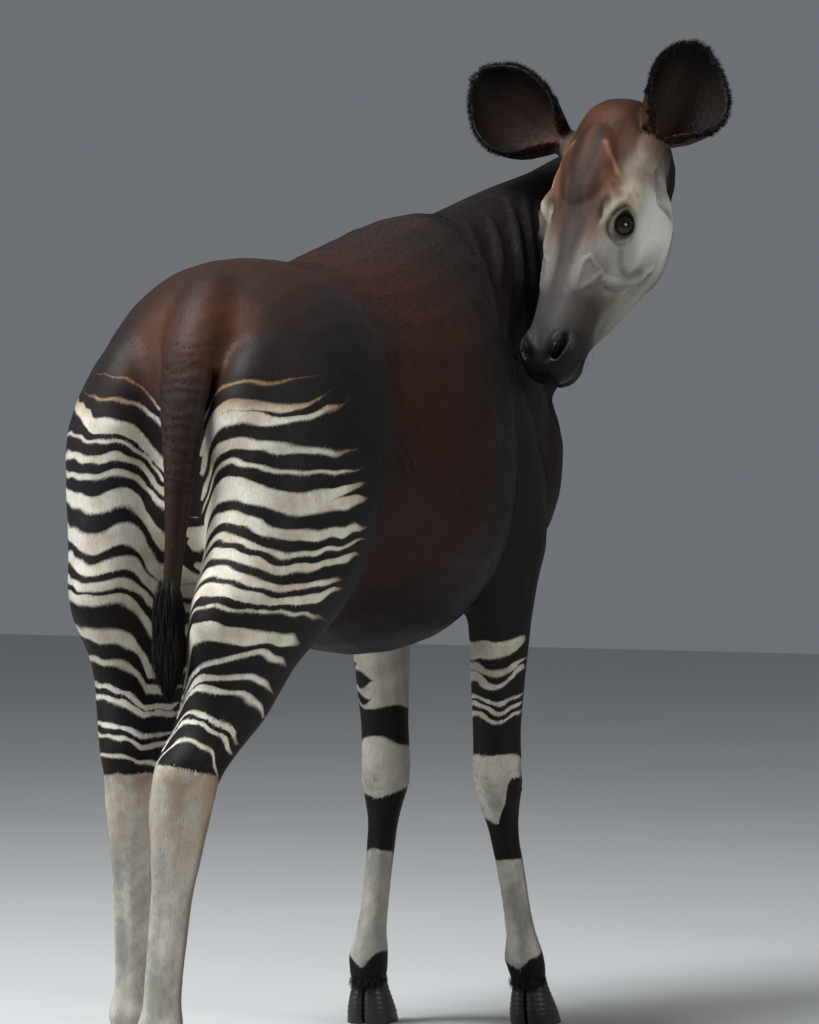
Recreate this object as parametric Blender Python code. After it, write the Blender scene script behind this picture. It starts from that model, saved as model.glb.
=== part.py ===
"""A life-size okapi cow, standing and looking back over her right shoulder.

She faces -Y, her left side is +X, and the floor is z = 0. The flesh is modelled whole, from lofted
rings and a few muscle masses that one voxel skin closes, and is then parted with thin cuts into
named nodes. Ears, eyes, tail and hooves are modelled piece by piece and meet the flesh face to face.
"""

import math
import random

import bmesh
import bpy
import numpy as np
from mathutils import Matrix, Vector
from mathutils.bvhtree import BVHTree

# ---- Driving dimensions, in metres ------------------------------------------------------------
GAP = 0.0003                    # clearance that touching nodes keep
ORIGIN = Vector((0.105, -0.02, 0.0))  # from the spine's frame to the one in which the z axis is mid-box

BODY_VOXEL = 0.009
HEAD_VOXEL = 0.0035
BODY_FACES = 4000               # triangles kept on trunk, neck and legs before they are parted
HEAD_FACES = 3700
RING = 32                       # corners of a lofted ring
FAIR = 4                        # rings lofted for each station of a table
SHARP = math.radians(50.0)      # edges steeper than this stay sharp

# Trunk: y, midline x, top z, bottom z, half width, share of the height where it is widest.
TRUNK = (
    (0.632, 0.000, 1.140, 0.950, 0.085, 0.52),
    (0.610, 0.000, 1.225, 0.900, 0.140, 0.52),
    (0.565, 0.000, 1.298, 0.860, 0.190, 0.54),
    (0.490, 0.000, 1.350, 0.835, 0.222, 0.55),
    (0.400, 0.000, 1.376, 0.810, 0.238, 0.55),
    (0.250, 0.000, 1.372, 0.770, 0.235, 0.48),
    (0.100, 0.000, 1.378, 0.715, 0.262, 0.42),
    (-0.050, 0.000, 1.412, 0.690, 0.278, 0.42),
    (-0.200, 0.000, 1.450, 0.705, 0.248, 0.42),
    (-0.330, -0.010, 1.470, 0.745, 0.183, 0.42),
    (-0.450, -0.028, 1.430, 0.800, 0.165, 0.40),
    (-0.540, -0.035, 1.320, 0.870, 0.135, 0.40),
    (-0.600, -0.038, 1.200, 0.960, 0.080, 0.45),
)

# Neck: centre, direction of the crest, half width, crest above centre, throat below it.
NECK = (
    ((-0.010, -0.330, 1.150), (0.00, 0.75, 0.66), 0.170, 0.300, 0.250),
    ((-0.045, -0.450, 1.245), (0.04, 0.68, 0.73), 0.140, 0.262, 0.235),
    ((-0.095, -0.575, 1.350), (0.14, 0.55, 0.82), 0.115, 0.198, 0.190),
    ((-0.165, -0.660, 1.440), (0.24, 0.42, 0.87), 0.100, 0.145, 0.140),
    ((-0.230, -0.685, 1.510), (0.24, 0.36, 0.90), 0.092, 0.118, 0.112),
    ((-0.272, -0.655, 1.560), (0.18, 0.34, 0.92), 0.086, 0.102, 0.098),
    ((-0.285, -0.600, 1.585), (0.14, 0.40, 0.90), 0.078, 0.090, 0.094),
    ((-0.288, -0.545, 1.590), (0.14, 0.50, 0.85), 0.066, 0.076, 0.084),
)
NECK_MID = 3                    # station where the neck is parted into two lengths
NECK_TOP = 5.5                  # station where the head is parted from the neck
NAPE_SIZE = (0.205, 0.205)      # a plate that just covers the neck there
NECK_REACH = ((1.1, 1.1), 0.9)  # a block that holds all of the neck past a cut

# Legs: height, half width, reach to the front, reach to the rear.
FORELEG = (
    (1.240, 0.060, 0.080, 0.090),
    (1.140, 0.078, 0.125, 0.130),
    (1.000, 0.086, 0.140, 0.150),
    (0.900, 0.078, 0.112, 0.135),
    (0.820, 0.064, 0.084, 0.105),
    (0.740, 0.054, 0.068, 0.074),
    (0.640, 0.048, 0.056, 0.058),
    (0.550, 0.043, 0.047, 0.047),
    (0.500, 0.044, 0.048, 0.044),
    (0.450, 0.043, 0.048, 0.043),
    (0.410, 0.037, 0.038, 0.038),
    (0.360, 0.028, 0.031, 0.032),
    (0.250, 0.0255, 0.029, 0.031),
    (0.175, 0.027, 0.031, 0.034),
    (0.135, 0.033, 0.036, 0.042),
    (0.108, 0.034, 0.037, 0.042),
    (0.082, 0.031, 0.036, 0.036),
    (0.050, 0.033, 0.038, 0.034),
)
HINDLEG = (
    (1.270, 0.070, 0.100, 0.100),
    (1.190, 0.105, 0.180, 0.175),
    (1.090, 0.118, 0.215, 0.215),
    (0.980, 0.116, 0.220, 0.220),
    (0.900, 0.108, 0.215, 0.225),
    (0.800, 0.095, 0.200, 0.225),
    (0.700, 0.073, 0.125, 0.130),
    (0.620, 0.063, 0.098, 0.102),
    (0.560, 0.056, 0.076, 0.086),
    (0.525, 0.052, 0.062, 0.068),
    (0.490, 0.050, 0.058, 0.054),
    (0.420, 0.044, 0.048, 0.046),
    (0.360, 0.036, 0.040, 0.038),
    (0.260, 0.0325, 0.036, 0.036),
    (0.175, 0.0315, 0.034, 0.036),
    (0.135, 0.037, 0.038, 0.043),
    (0.108, 0.038, 0.039, 0.043),
    (0.082, 0.035, 0.038, 0.038),
    (0.050, 0.036, 0.040, 0.036),
)
# The line each leg follows: height, x, y.
LEG_LINES = {
    "fore_left": ((1.24, 0.085, -0.320), (0.90, 0.100, -0.360), (0.80, 0.100, -0.375),
                  (0.47, 0.090, -0.385), (0.28, 0.102, -0.380), (0.115, 0.114, -0.365), (0.0, 0.118, -0.385)),
    "fore_right": ((1.24, -0.105, -0.310), (0.90, -0.150, -0.350), (0.80, -0.155, -0.345),
                   (0.47, -0.145, -0.350), (0.28, -0.150, -0.405), (0.115, -0.157, -0.455),
                   (0.0, -0.160, -0.490)),
    "hind_left": ((1.27, 0.100, 0.430), (1.09, 0.135, 0.440), (0.90, 0.138, 0.440), (0.80, 0.140, 0.450),
                  (0.70, 0.130, 0.490), (0.62, 0.118, 0.530), (0.53, 0.106, 0.570), (0.40, 0.106, 0.582),
                  (0.26, 0.110, 0.576), (0.115, 0.112, 0.570), (0.0, 0.112, 0.545)),
    "hind_right": ((1.27, -0.100, 0.430), (1.09, -0.130, 0.445), (0.90, -0.132, 0.478), (0.80, -0.120, 0.530),
                   (0.70, -0.100, 0.600), (0.62, -0.085, 0.645), (0.53, -0.064, 0.728), (0.40, -0.057, 0.752),
                   (0.26, -0.052, 0.775), (0.115, -0.047, 0.785), (0.0, -0.045, 0.762)),
}
# How a leg is parted: height of its upper cut at the midline and how steeply that climbs outward,
# height of the cut through its knee or hock, and the front and rear limits of both.
FORE_CUT = (0.670, 1.00, 0.470, -0.620, -0.225)
HIND_CUT = (0.670, 0.95, 0.530, 0.225, 0.900)
SIDE_REACH = 0.42               # past the widest flank
CORONET = 0.078                 # height where the hooves begin

# Muscle masses: centre, radii, tilt about X in degrees. Each is mirrored unless it sits on the midline.
MASSES = (
    ((0.108, -0.285, 1.180), (0.082, 0.130, 0.235), -18.0),   # shoulder blade
    ((0.128, -0.390, 0.990), (0.066, 0.110, 0.160), 15.0),    # point of the shoulder
    ((0.150, 0.330, 1.120), (0.082, 0.120, 0.170), 20.0),     # thigh before the hip
    ((0.112, 0.505, 1.060), (0.096, 0.165, 0.200), -14.0),    # buttock
)
BRISKET = ((-0.066, -0.510, 1.010), (0.132, 0.125, 0.200), 12.0)

# Tail: centre, half width, half depth. The dock follows the croup and hangs in the cleft.
TAIL = (
    ((-0.004, 0.490, 1.318), 0.050, 0.042),
    ((-0.012, 0.560, 1.285), 0.050, 0.041),
    ((-0.020, 0.620, 1.228), 0.049, 0.037),
    ((-0.030, 0.666, 1.140), 0.042, 0.030),
    ((-0.036, 0.695, 1.030), 0.027, 0.023),
    ((-0.036, 0.712, 0.900), 0.0172, 0.0165),
    ((-0.031, 0.720, 0.800), 0.0142, 0.0140),
)
TAIL_CUT = 2                    # station where the tail is parted from the croup
TAIL_SEAT = (0.056, 0.043, 0.050)  # half width, half depth and height of the room that the tail's root takes
TAIL_RING = 16
TUFT_TIP = Vector((-0.030, 0.722, 0.650))
# The tuft's core: share of its length, radius. Its depth is less than its width.
TUFT_CORE = ((0.0, 0.0142), (0.3, 0.0185), (0.7, 0.0150), (1.0, 0.0050))
TUFT_CORE_SHARE = 0.5           # share of the tuft's length that its core fills
TUFT_FLAT = 0.85
TUFT_LOCKS = 12
TUFT_TURN = 0.382               # share of a turn from one lock to the next
LOCK_SIZE = (0.0095, 0.0042)    # half width and half thickness
LOCK_BOW = 0.026                # how far a lock swings out at its middle
LOCK_VARY = 0.006
# A lock's outline: share of its length, share of its full width.
LOCK_SHAPE = ((0.0, 0.75), (0.30, 1.0), (0.65, 0.70), (0.88, 0.34), (1.0, 0.10))

# Hooves: height, front reach, rear reach, outer half width of one toe.
HOOF = (
    (CORONET - GAP, 0.034, 0.034, 0.0330),
    (0.050, 0.044, 0.038, 0.0370),
    (0.020, 0.056, 0.042, 0.0400),
    (0.000, 0.062, 0.043, 0.0415),
)
HOOF_CLEFT = 0.0015             # half of the slit between two toes
HOOF_SEAM = (0.92, 0.85)        # how far the slit runs, as shares of the front and rear reach
HOOF_ARC = 11                   # corners round the outer side
HOOF_SQUARE = (0.8, 0.9)        # below 1 the arc is squarer, across and along

# Head frame: the poll, how far the face turns from +Y towards +X, and how far the nose drops, in degrees.
POLL = Vector((-0.297, -0.490, 1.665))
FACE_TURN = math.radians(12.0)
NOSE_DROP = math.radians(64.0)
LEFT = Vector((-math.cos(FACE_TURN), math.sin(FACE_TURN), 0.0))
NOSE = Vector((math.sin(FACE_TURN) * math.cos(NOSE_DROP), math.cos(FACE_TURN) * math.cos(NOSE_DROP),
               -math.sin(NOSE_DROP)))
FACE = NOSE.cross(LEFT).normalized()
HEAD = Matrix.Translation(POLL) @ Matrix((NOSE, LEFT, FACE)).transposed().to_4x4()

# Skull and muzzle, in the head frame: distance from the poll, top, widest level, bottom, half width.
SKULL = (
    (-0.030, -0.030, -0.060, -0.110, 0.045),
    (0.000, -0.004, -0.054, -0.135, 0.062),
    (0.045, 0.008, -0.056, -0.170, 0.076),
    (0.095, 0.013, -0.058, -0.200, 0.086),
    (0.145, 0.013, -0.060, -0.224, 0.093),
    (0.190, 0.010, -0.062, -0.232, 0.095),
    (0.235, 0.004, -0.066, -0.234, 0.092),
    (0.285, -0.001, -0.068, -0.222, 0.079),
    (0.340, -0.004, -0.066, -0.192, 0.065),
    (0.395, -0.005, -0.058, -0.155, 0.056),
    (0.440, -0.004, -0.050, -0.120, 0.053),
    (0.478, -0.004, -0.046, -0.106, 0.053),
    (0.508, -0.010, -0.046, -0.092, 0.047),
    (0.529, -0.026, -0.048, -0.070, 0.030),
)
# Masses of the head, in its frame: centre, radii, and 1 where the mass has a twin on the other side.
HEAD_MASSES = (
    ((0.185, 0.056, -0.128), (0.098, 0.040, 0.080), 1),       # cheek muscle
    ((0.198, 0.066, -0.024), (0.046, 0.028, 0.024), 1),       # brow
    ((0.227, 0.072, -0.042), (0.0325, 0.0295, 0.0320), 1),    # lids over the eyeball
    ((0.125, 0.000, 0.002), (0.085, 0.056, 0.022), 0),        # forehead
    ((0.470, 0.030, -0.034), (0.044, 0.028, 0.033), 1),       # nostril wing
    ((0.482, 0.000, -0.092), (0.040, 0.038, 0.022), 0),       # lower lip
    ((0.195, 0.044, -0.192), (0.088, 0.028, 0.040), 1),       # angle of the jaw
)
EYE_RADIUS = 0.0265
EYE_PLACE = Vector((0.227, 0.0720, -0.040))
EYE_LOOK = Vector((0.06, 0.88, 0.47)).normalized()
EYE_OPEN = (0.0255, 0.0205)     # half width and half height of the opening between the lids
EYE_SLANT = (0.69, 0.73)        # the opening's long way, along the nose and above the face
EYE_FLARE = ((0.004, 0.55), (EYE_RADIUS, 1.0), (0.050, 1.45))  # height along the look, share of the opening
EYE_CORNERS = 20
LID_PINCH = 1.35                # above 1 the opening closes to points
MOUTH_HUB = Vector((0.395, 0.0, -0.066))  # inside the muzzle: the mouth line circles it
MOUTH_REACH = 118.0             # degrees from the tip to each corner of the mouth
MOUTH_GROOVE = 0.0034
MOUTH_STEPS = 33
MOUTH_DROP = 0.10               # how far the mouth dips at its middle
NOSTRIL = ((0.436, 0.046, -0.010, 0.0065), (0.458, 0.050, -0.010, 0.0105), (0.480, 0.041, -0.012, 0.0115),
           (0.498, 0.022, -0.022, 0.0080))  # place in the head frame and radius, along each slit
NOSTRIL_WAY = (0.75, 0.55, 0.30)  # the way a nostril opens: outward, up the face and along the nose
NOSTRIL_TOOL = (0.55, 0.030, 0.010)  # its cutter: share of the radius across, reach out, depth

# Ears: root in the head frame, tip direction, direction that the cup faces, both in the world.
EAR_LENGTH = 0.235
EAR_WALL = 0.0055
EAR_STALK = 0.030
EARS = {
    "left": (Vector((0.078, 0.077, -0.052)), Vector((-0.052, -0.089, 0.165)), Vector((-0.560, 0.820, 0.060))),
    "right": (Vector((0.068, -0.072, -0.048)), Vector((0.160, 0.015, 0.120)), Vector((-0.200, 0.960, 0.160))),
}
# Along the ear: share of the length, radius of the cup, half angle that the wall spans in degrees.
EAR_SHAPE = (
    (0.00, 0.0245, 172.0),
    (0.08, 0.040, 152.0),
    (0.20, 0.061, 124.0),
    (0.34, 0.073, 104.0),
    (0.50, 0.077, 92.0),
    (0.66, 0.073, 82.0),
    (0.80, 0.061, 72.0),
    (0.92, 0.041, 62.0),
    (1.00, 0.018, 48.0),
)
EAR_ROWS = 2                    # rings for each station
EAR_STEPS = 10                  # corners across the wall
EAR_LEAN = 0.030                # how far the tip leans to the cup's side
EAR_CURVE = (0.026, 0.55)       # radius that stays over the root, and share of the rest that moves forward
EAR_THIN = (1.15, 0.55)         # wall at the root, and how much thinner it is at the tip
EAR_SAG = 0.018                 # how far the cup's middle hangs below the line from root to tip
EAR_SEAT = 0.031                # radius of the round seat that the cup stands on
EAR_PLUG = 0.04
# Along the ear's stalk, which belongs to the head: distance from the root, radius.
STALK = ((-0.030, 0.022), (-0.012, 0.030), (0.006, 0.0305), (0.022, 0.0275), (0.045, 0.0268))

COATS = {
    "coat": ((0.075, 0.028, 0.020, 1.0), 0.62),
    "face": ((0.420, 0.360, 0.320, 1.0), 0.65),
    "stocking": ((0.480, 0.430, 0.370, 1.0), 0.68),
    "ear": ((0.060, 0.022, 0.016, 1.0), 0.70),
    "tuft": ((0.012, 0.010, 0.010, 1.0), 0.60),
    "eye": ((0.010, 0.007, 0.006, 1.0), 0.06),
    "hoof": ((0.045, 0.040, 0.038, 1.0), 0.42),
}


# ---- Small tools ------------------------------------------------------------------------------
def clear_scene():
    for old in list(bpy.data.objects):
        bpy.data.objects.remove(old, do_unlink=True)


def material(name):
    """The named finish: a Principled surface with its colour and roughness."""
    if name in bpy.data.materials:
        return bpy.data.materials[name]
    colour, roughness = COATS[name]
    made = bpy.data.materials.new(name)
    made.use_nodes = True
    shader = made.node_tree.nodes["Principled BSDF"]
    shader.inputs["Base Color"].default_value = colour
    shader.inputs["Roughness"].default_value = roughness
    shader.inputs["Metallic"].default_value = 0.0
    return made


def make_object(name, bm):
    """A scene object from a bmesh, with its faces pointing out."""
    bmesh.ops.recalc_face_normals(bm, faces=bm.faces)
    mesh = bpy.data.meshes.new(name)
    bm.to_mesh(mesh)
    bm.free()
    made = bpy.data.objects.new(name, mesh)
    bpy.context.scene.collection.objects.link(made)
    return made


def as_bmesh(obj):
    """The object's mesh as its modifiers leave it."""
    evaluated = obj.evaluated_get(bpy.context.evaluated_depsgraph_get())
    bm = bmesh.new()
    bm.from_mesh(evaluated.to_mesh())
    evaluated.to_mesh_clear()
    return bm


def apply_modifiers(obj):
    bm = as_bmesh(obj)
    obj.modifiers.clear()
    bm.to_mesh(obj.data)
    bm.free()
    obj.data.update()


def drop(*objects):
    for obj in objects:
        bpy.data.objects.remove(obj, do_unlink=True)


def join(name, objects):
    """One object holding the meshes of several, which are removed."""
    whole = bmesh.new()
    for obj in objects:
        part = obj.data.copy()
        part.transform(obj.matrix_world)
        whole.from_mesh(part)
        bpy.data.meshes.remove(part)
    drop(*objects)
    return make_object(name, whole)


def boolean(obj, tool, operation, solver="EXACT"):
    """Cut, keep or add the tool's space, and keep the largest closed surface."""
    cut = obj.modifiers.new(operation, "BOOLEAN")
    cut.operation = operation
    cut.solver = solver
    cut.object = tool
    bpy.context.view_layer.update()
    apply_modifiers(obj)
    keep_largest(obj)


def islands(bm):
    """Lists of the vertices of each connected surface."""
    unseen = set(bm.verts)
    found = []
    while unseen:
        edge_of = [unseen.pop()]
        island = list(edge_of)
        while edge_of:
            vert = edge_of.pop()
            for edge in vert.link_edges:
                other = edge.other_vert(vert)
                if other in unseen:
                    unseen.remove(other)
                    island.append(other)
                    edge_of.append(other)
        found.append(island)
    return found


def keep_largest(obj):
    bm = bmesh.new()
    bm.from_mesh(obj.data)
    bmesh.ops.remove_doubles(bm, verts=bm.verts, dist=0.00002)
    bmesh.ops.dissolve_degenerate(bm, edges=bm.edges, dist=0.00001)
    groups = sorted(islands(bm), key=len)
    for group in groups[:-1]:
        bmesh.ops.delete(bm, geom=group, context="VERTS")
    bmesh.ops.triangulate(bm, faces=bm.faces)
    bm.to_mesh(obj.data)
    bm.free()
    obj.data.update()


def fair_rows(rows, per_span=FAIR):
    """More rows on the smooth curve through the given ones (Catmull-Rom), as a numpy array."""
    table = np.array(rows, dtype=float)
    padded = np.vstack((2 * table[0] - table[1], table, 2 * table[-1] - table[-2]))
    made = []
    for index in range(1, len(padded) - 2):
        before, start, end, after = padded[index - 1:index + 3]
        for step in range(per_span):
            t = step / per_span
            made.append(0.5 * (2 * start + (end - before) * t
                               + (2 * before - 5 * start + 4 * end - after) * t ** 2
                               + (3 * start - before - 3 * end + after) * t ** 3))
    made.append(table[-1])
    return np.array(made)


def ring_points(centre, side, up, half_width, rise, fall, power=2.2, corners=RING):
    """An egg-shaped ring: wider or flatter than an ellipse by its power, taller above than below."""
    points = []
    for step in range(corners):
        turn = math.tau * step / corners
        across = math.copysign(abs(math.cos(turn)) ** (2 / power), math.cos(turn))
        height = math.copysign(abs(math.sin(turn)) ** (2 / power), math.sin(turn))
        reach = rise if height > 0 else fall
        points.append(centre + side * (across * half_width) + up * (height * reach))
    return points


def loft(name, rings):
    """A closed tube through rings of equal corner counts, capped at both ends."""
    bm = bmesh.new()
    loops = [[bm.verts.new(point) for point in ring] for ring in rings]
    for first, second in zip(loops, loops[1:]):
        for index, corner in enumerate(first):
            after = (index + 1) % len(first)
            bm.faces.new((corner, first[after], second[after], second[index]))
    bm.faces.new(loops[0][::-1])
    bm.faces.new(loops[-1])
    return make_object(name, bm)


def ellipsoid(name, centre, radii, turn=None, segments=28):
    """A closed egg of three radii, turned by a matrix before it is placed."""
    bm = bmesh.new()
    bmesh.ops.create_uvsphere(bm, u_segments=segments, v_segments=segments // 2, radius=1.0)
    place = Matrix.Translation(centre) @ (turn or Matrix()) @ Matrix.Diagonal((*radii, 1.0))
    bmesh.ops.transform(bm, matrix=place, verts=bm.verts)
    return make_object(name, bm)


def slab(name, point, normal, size, depth, up=Vector((0.0, 0.0, 1.0))):
    """A box that starts at a plane and reaches `depth` along the plane's normal."""
    normal = Vector(normal).normalized()
    side = up.cross(normal).normalized()
    lift = normal.cross(side)
    bm = bmesh.new()
    bmesh.ops.create_cube(bm, size=1.0)
    turn = Matrix((side, lift, normal)).transposed().to_4x4()
    place = Matrix.Translation(Vector(point) + normal * depth / 2) @ turn
    bmesh.ops.transform(bm, matrix=place @ Matrix.Diagonal((*size, depth, 1.0)), verts=bm.verts)
    return make_object(name, bm)


def plug(point, along, side, half_width, half_depth, depth):
    """An oval cutter that starts at a plane and reaches `depth` along its normal."""
    side = (side - along * side.dot(along)).normalized()
    over = along.cross(side)
    rings = [ring_points(point + along * reach, side, over, half_width, half_depth, half_depth, 2.0, 28)
             for reach in (0.0, depth)]
    return loft("plug", rings)


def swollen(obj, amount):
    """A copy of an object with its surface moved out by `amount`."""
    bm = bmesh.new()
    bm.from_mesh(obj.data)
    bm.normal_update()
    moves = [(vert, vert.normal * amount) for vert in bm.verts]
    for vert, move in moves:
        vert.co += move
    return make_object("swollen", bm)


def prism(name, outline, front, rear):
    """An outline in x and z, drawn out along y."""
    bm = bmesh.new()
    corners = [bm.verts.new((x, front, z)) for x, z in outline]
    face = bm.faces.new(corners)
    drawn = bmesh.ops.extrude_face_region(bm, geom=[face])["geom"]
    moved = [item for item in drawn if isinstance(item, bmesh.types.BMVert)]
    bmesh.ops.translate(bm, verts=moved, vec=(0.0, rear - front, 0.0))
    return make_object(name, bm)


def skin(obj, voxel, smoothing, faces):
    """Close overlapping solids into one surface, ease it, and thin it to about `faces` triangles."""
    remesh = obj.modifiers.new("skin", "REMESH")
    remesh.mode = "VOXEL"
    remesh.voxel_size = voxel
    apply_modifiers(obj)
    ease = obj.modifiers.new("ease", "SMOOTH")
    ease.factor = 0.5
    ease.iterations = smoothing
    apply_modifiers(obj)
    keep_largest(obj)
    if faces:
        thin(obj, faces)


def thin(obj, faces):
    reduce = obj.modifiers.new("thin", "DECIMATE")
    reduce.ratio = min(1.0, faces / len(obj.data.polygons))
    apply_modifiers(obj)
    keep_largest(obj)


def part_off(body, region_at, name, outline):
    """Take the body inside a region as a node of its own, a gap's width clear of what is left."""
    piece = bpy.data.objects.new(name, body.data.copy())
    bpy.context.scene.collection.objects.link(piece)
    inside = region_at(0.0)
    boolean(piece, inside, "INTERSECT")
    beyond = region_at(GAP)
    boolean(body, beyond, "DIFFERENCE")
    drop(inside, beyond)
    finish_node(piece, outline)
    return piece


def finish_node(obj, finish):
    obj.data.materials.clear()
    obj.data.materials.append(material(finish))
    obj.data.shade_smooth()
    obj.data.set_sharp_from_angle(angle=SHARP)


# ---- Flesh ------------------------------------------------------------------------------------
def trunk():
    rings = []
    for y, middle, top, bottom, half_width, level in fair_rows(TRUNK):
        widest = bottom + (top - bottom) * level
        centre = Vector((middle, y, widest))
        rings.append(ring_points(centre, Vector((1, 0, 0)), Vector((0, 0, 1)), half_width, top - widest,
                                 widest - bottom, 2.15))
    return loft("trunk", rings)


def neck_rows():
    """Stations of the neck as arrays of centre, crest direction and three reaches."""
    flat = [(*centre, *crest, half_width, rise, fall) for centre, crest, half_width, rise, fall in NECK]
    return fair_rows(flat)


def neck_frame(rows, index):
    """Centre, forward, crest and side directions at one row of the neck."""
    centre = Vector(rows[index][:3])
    ahead = Vector(rows[min(index + 1, len(rows) - 1)][:3]) - Vector(rows[max(index - 1, 0)][:3])
    ahead.normalize()
    crest = Vector(rows[index][3:6])
    crest = (crest - ahead * crest.dot(ahead)).normalized()
    return centre, ahead, crest, crest.cross(ahead)


def neck(first, last):
    """The neck between two of its stations."""
    rows = neck_rows()
    rings = []
    for index in range(int(first * FAIR), int(last * FAIR) + 1):
        row = rows[index]
        centre, ahead, crest, side = neck_frame(rows, index)
        rings.append(ring_points(centre, side, crest, row[6], row[7], row[8], 2.1))
    return loft("neck_loft", rings)


def leg(name, sections):
    line = fair_rows(LEG_LINES[name])[::-1]
    rings = []
    for height, half_width, front, rear in fair_rows(sections):
        x = np.interp(height, line[:, 0], line[:, 1])
        y = np.interp(height, line[:, 0], line[:, 2])
        rings.append(ring_points(Vector((x, y, height)), Vector((1, 0, 0)), Vector((0, -1, 0)),
                                 half_width, front, rear, 2.15))
    return loft(name, rings)


def masses():
    made = []
    for index, (centre, radii, tilt) in enumerate(MASSES):
        turn = Matrix.Rotation(math.radians(tilt), 4, "X")
        for side in (-1, 1):
            place = Vector((centre[0] * side, centre[1], centre[2]))
            made.append(ellipsoid(f"mass_{index}", place, radii, turn))
    centre, radii, tilt = BRISKET
    made.append(ellipsoid("brisket", centre, radii, Matrix.Rotation(math.radians(tilt), 4, "X")))
    return made


def tail_frame(index):
    """Centre, downward, outward and side directions at one station of the tail."""
    centre = Vector(TAIL[index][0])
    down = Vector(TAIL[min(index + 1, len(TAIL) - 1)][0]) - Vector(TAIL[max(index - 1, 0)][0])
    down.normalize()
    side = Vector((1, 0, 0)) - down * down.x
    side.normalize()
    return centre, down, down.cross(side) * -1.0, side


def tail_loft(name, first, last):
    rings = []
    rows = fair_rows([(*centre, half_width, depth) for centre, half_width, depth in TAIL])
    rows = rows[int(first * FAIR):int(last * FAIR) + 1]
    for index, row in enumerate(rows):
        below = Vector(rows[min(index + 1, len(rows) - 1)][:3])
        above = Vector(rows[max(index - 1, 0)][:3])
        down = (below - above).normalized()
        side = (Vector((1, 0, 0)) - down * down.x).normalized()
        centre, half_width, depth = Vector(row[:3]), row[3], row[4]
        rings.append(ring_points(centre, side, side.cross(down), half_width, depth, depth, 2.0, TAIL_RING))
    return loft(name, rings)


def body_whole():
    pieces = [trunk(), neck(0, NECK_TOP + 0.25), tail_loft("tail_root", 0, TAIL_CUT + 0.5), *masses()]
    for name in LEG_LINES:
        pieces.append(leg(name, FORELEG if name.startswith("fore") else HINDLEG))
    whole = join("torso", pieces)
    skin(whole, BODY_VOXEL, 6, BODY_FACES)
    return whole


# ---- Head -------------------------------------------------------------------------------------
def in_head(t, a, b):
    """A point given as distance along the nose, to the left and above the face."""
    return HEAD @ Vector((t, a, b))


def ear_frame(side):
    """Root, tip direction, direction of the cup and the direction across it."""
    root, tip, cup = EARS[side]
    root = HEAD @ root
    along = tip.normalized()
    facing = (cup - along * cup.dot(along)).normalized()
    return root, along, facing, along.cross(facing)


def ear_stalk(side):
    root, along, facing, across = ear_frame(side)
    rings = []
    for reach, radius in STALK:
        rings.append(ring_points(root + along * reach, across, facing, radius, radius, radius, 2.0, 20))
    return loft("stalk", rings)


def head_whole():
    rings = []
    for t, top, level, bottom, half_width in fair_rows(SKULL):
        centre = in_head(t, 0.0, level)
        rings.append(ring_points(centre, LEFT, FACE, half_width, top - level, level - bottom, 2.3))
    pieces = [loft("skull", rings), neck(NECK_TOP - 0.25, len(NECK) - 1)]
    for centre, radii, twin in HEAD_MASSES:
        for side in ((-1, 1) if twin else (1,)):
            place = in_head(centre[0], centre[1] * side, centre[2])
            turn = Matrix((NOSE, LEFT, FACE)).transposed().to_4x4()
            pieces.append(ellipsoid("head_mass", place, radii, turn))
    pieces += [ear_stalk(side) for side in EARS]
    head = join("head", pieces)
    skin(head, HEAD_VOXEL, 3, 0)
    return head


def neck_plane(station):
    rows = neck_rows()
    centre, ahead, _, _ = neck_frame(rows, int(station * FAIR))
    return centre, ahead


def mouth_tube(head):
    """A thin tube along the line of the mouth, from corner to corner round the muzzle."""
    tree = BVHTree.FromBMesh(as_bmesh(head))
    hub = HEAD @ MOUTH_HUB
    path = []
    for step in range(MOUTH_STEPS):
        turn = math.radians(MOUTH_REACH * (2 * step / (MOUTH_STEPS - 1) - 1))
        way = NOSE * math.cos(turn) + LEFT * math.sin(turn) - FACE * (MOUTH_DROP * math.cos(turn))
        path.append(tree.ray_cast(hub, way.normalized())[0])
    rings = []
    for index, point in enumerate(path):
        ahead = (path[min(index + 1, MOUTH_STEPS - 1)] - path[max(index - 1, 0)]).normalized()
        up = (FACE - ahead * FACE.dot(ahead)).normalized()
        out = up.cross(ahead)
        thick = MOUTH_GROOVE * (0.35 + 0.65 * math.sin(math.pi * (index + 0.5) / MOUTH_STEPS) ** 0.5)
        rings.append(ring_points(point, out, up, thick * 1.4, thick, thick, 2.0, 6))
    return loft("mouth", rings)


def nostril_tool(side):
    rings = []
    places = [in_head(t, a * side, b) for t, a, b, _ in NOSTRIL]
    outward = (LEFT * (NOSTRIL_WAY[0] * side) + FACE * NOSTRIL_WAY[1] + NOSE * NOSTRIL_WAY[2]).normalized()
    narrow, reach, depth = NOSTRIL_TOOL
    for index, place in enumerate(places):
        ahead = (places[min(index + 1, len(places) - 1)] - places[max(index - 1, 0)]).normalized()
        across = outward.cross(ahead).normalized()
        radius = NOSTRIL[index][3]
        rings.append(ring_points(place, across, outward, radius * narrow, reach, depth, 2.0, 10))
    return loft("nostril", rings)


def eye_frame(side):
    """Centre of an eyeball and the way that it looks."""
    look = HEAD.to_3x3() @ Vector((EYE_LOOK.x, EYE_LOOK.y * side, EYE_LOOK.z))
    return HEAD @ Vector((EYE_PLACE.x, EYE_PLACE.y * side, EYE_PLACE.z)), look


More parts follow.
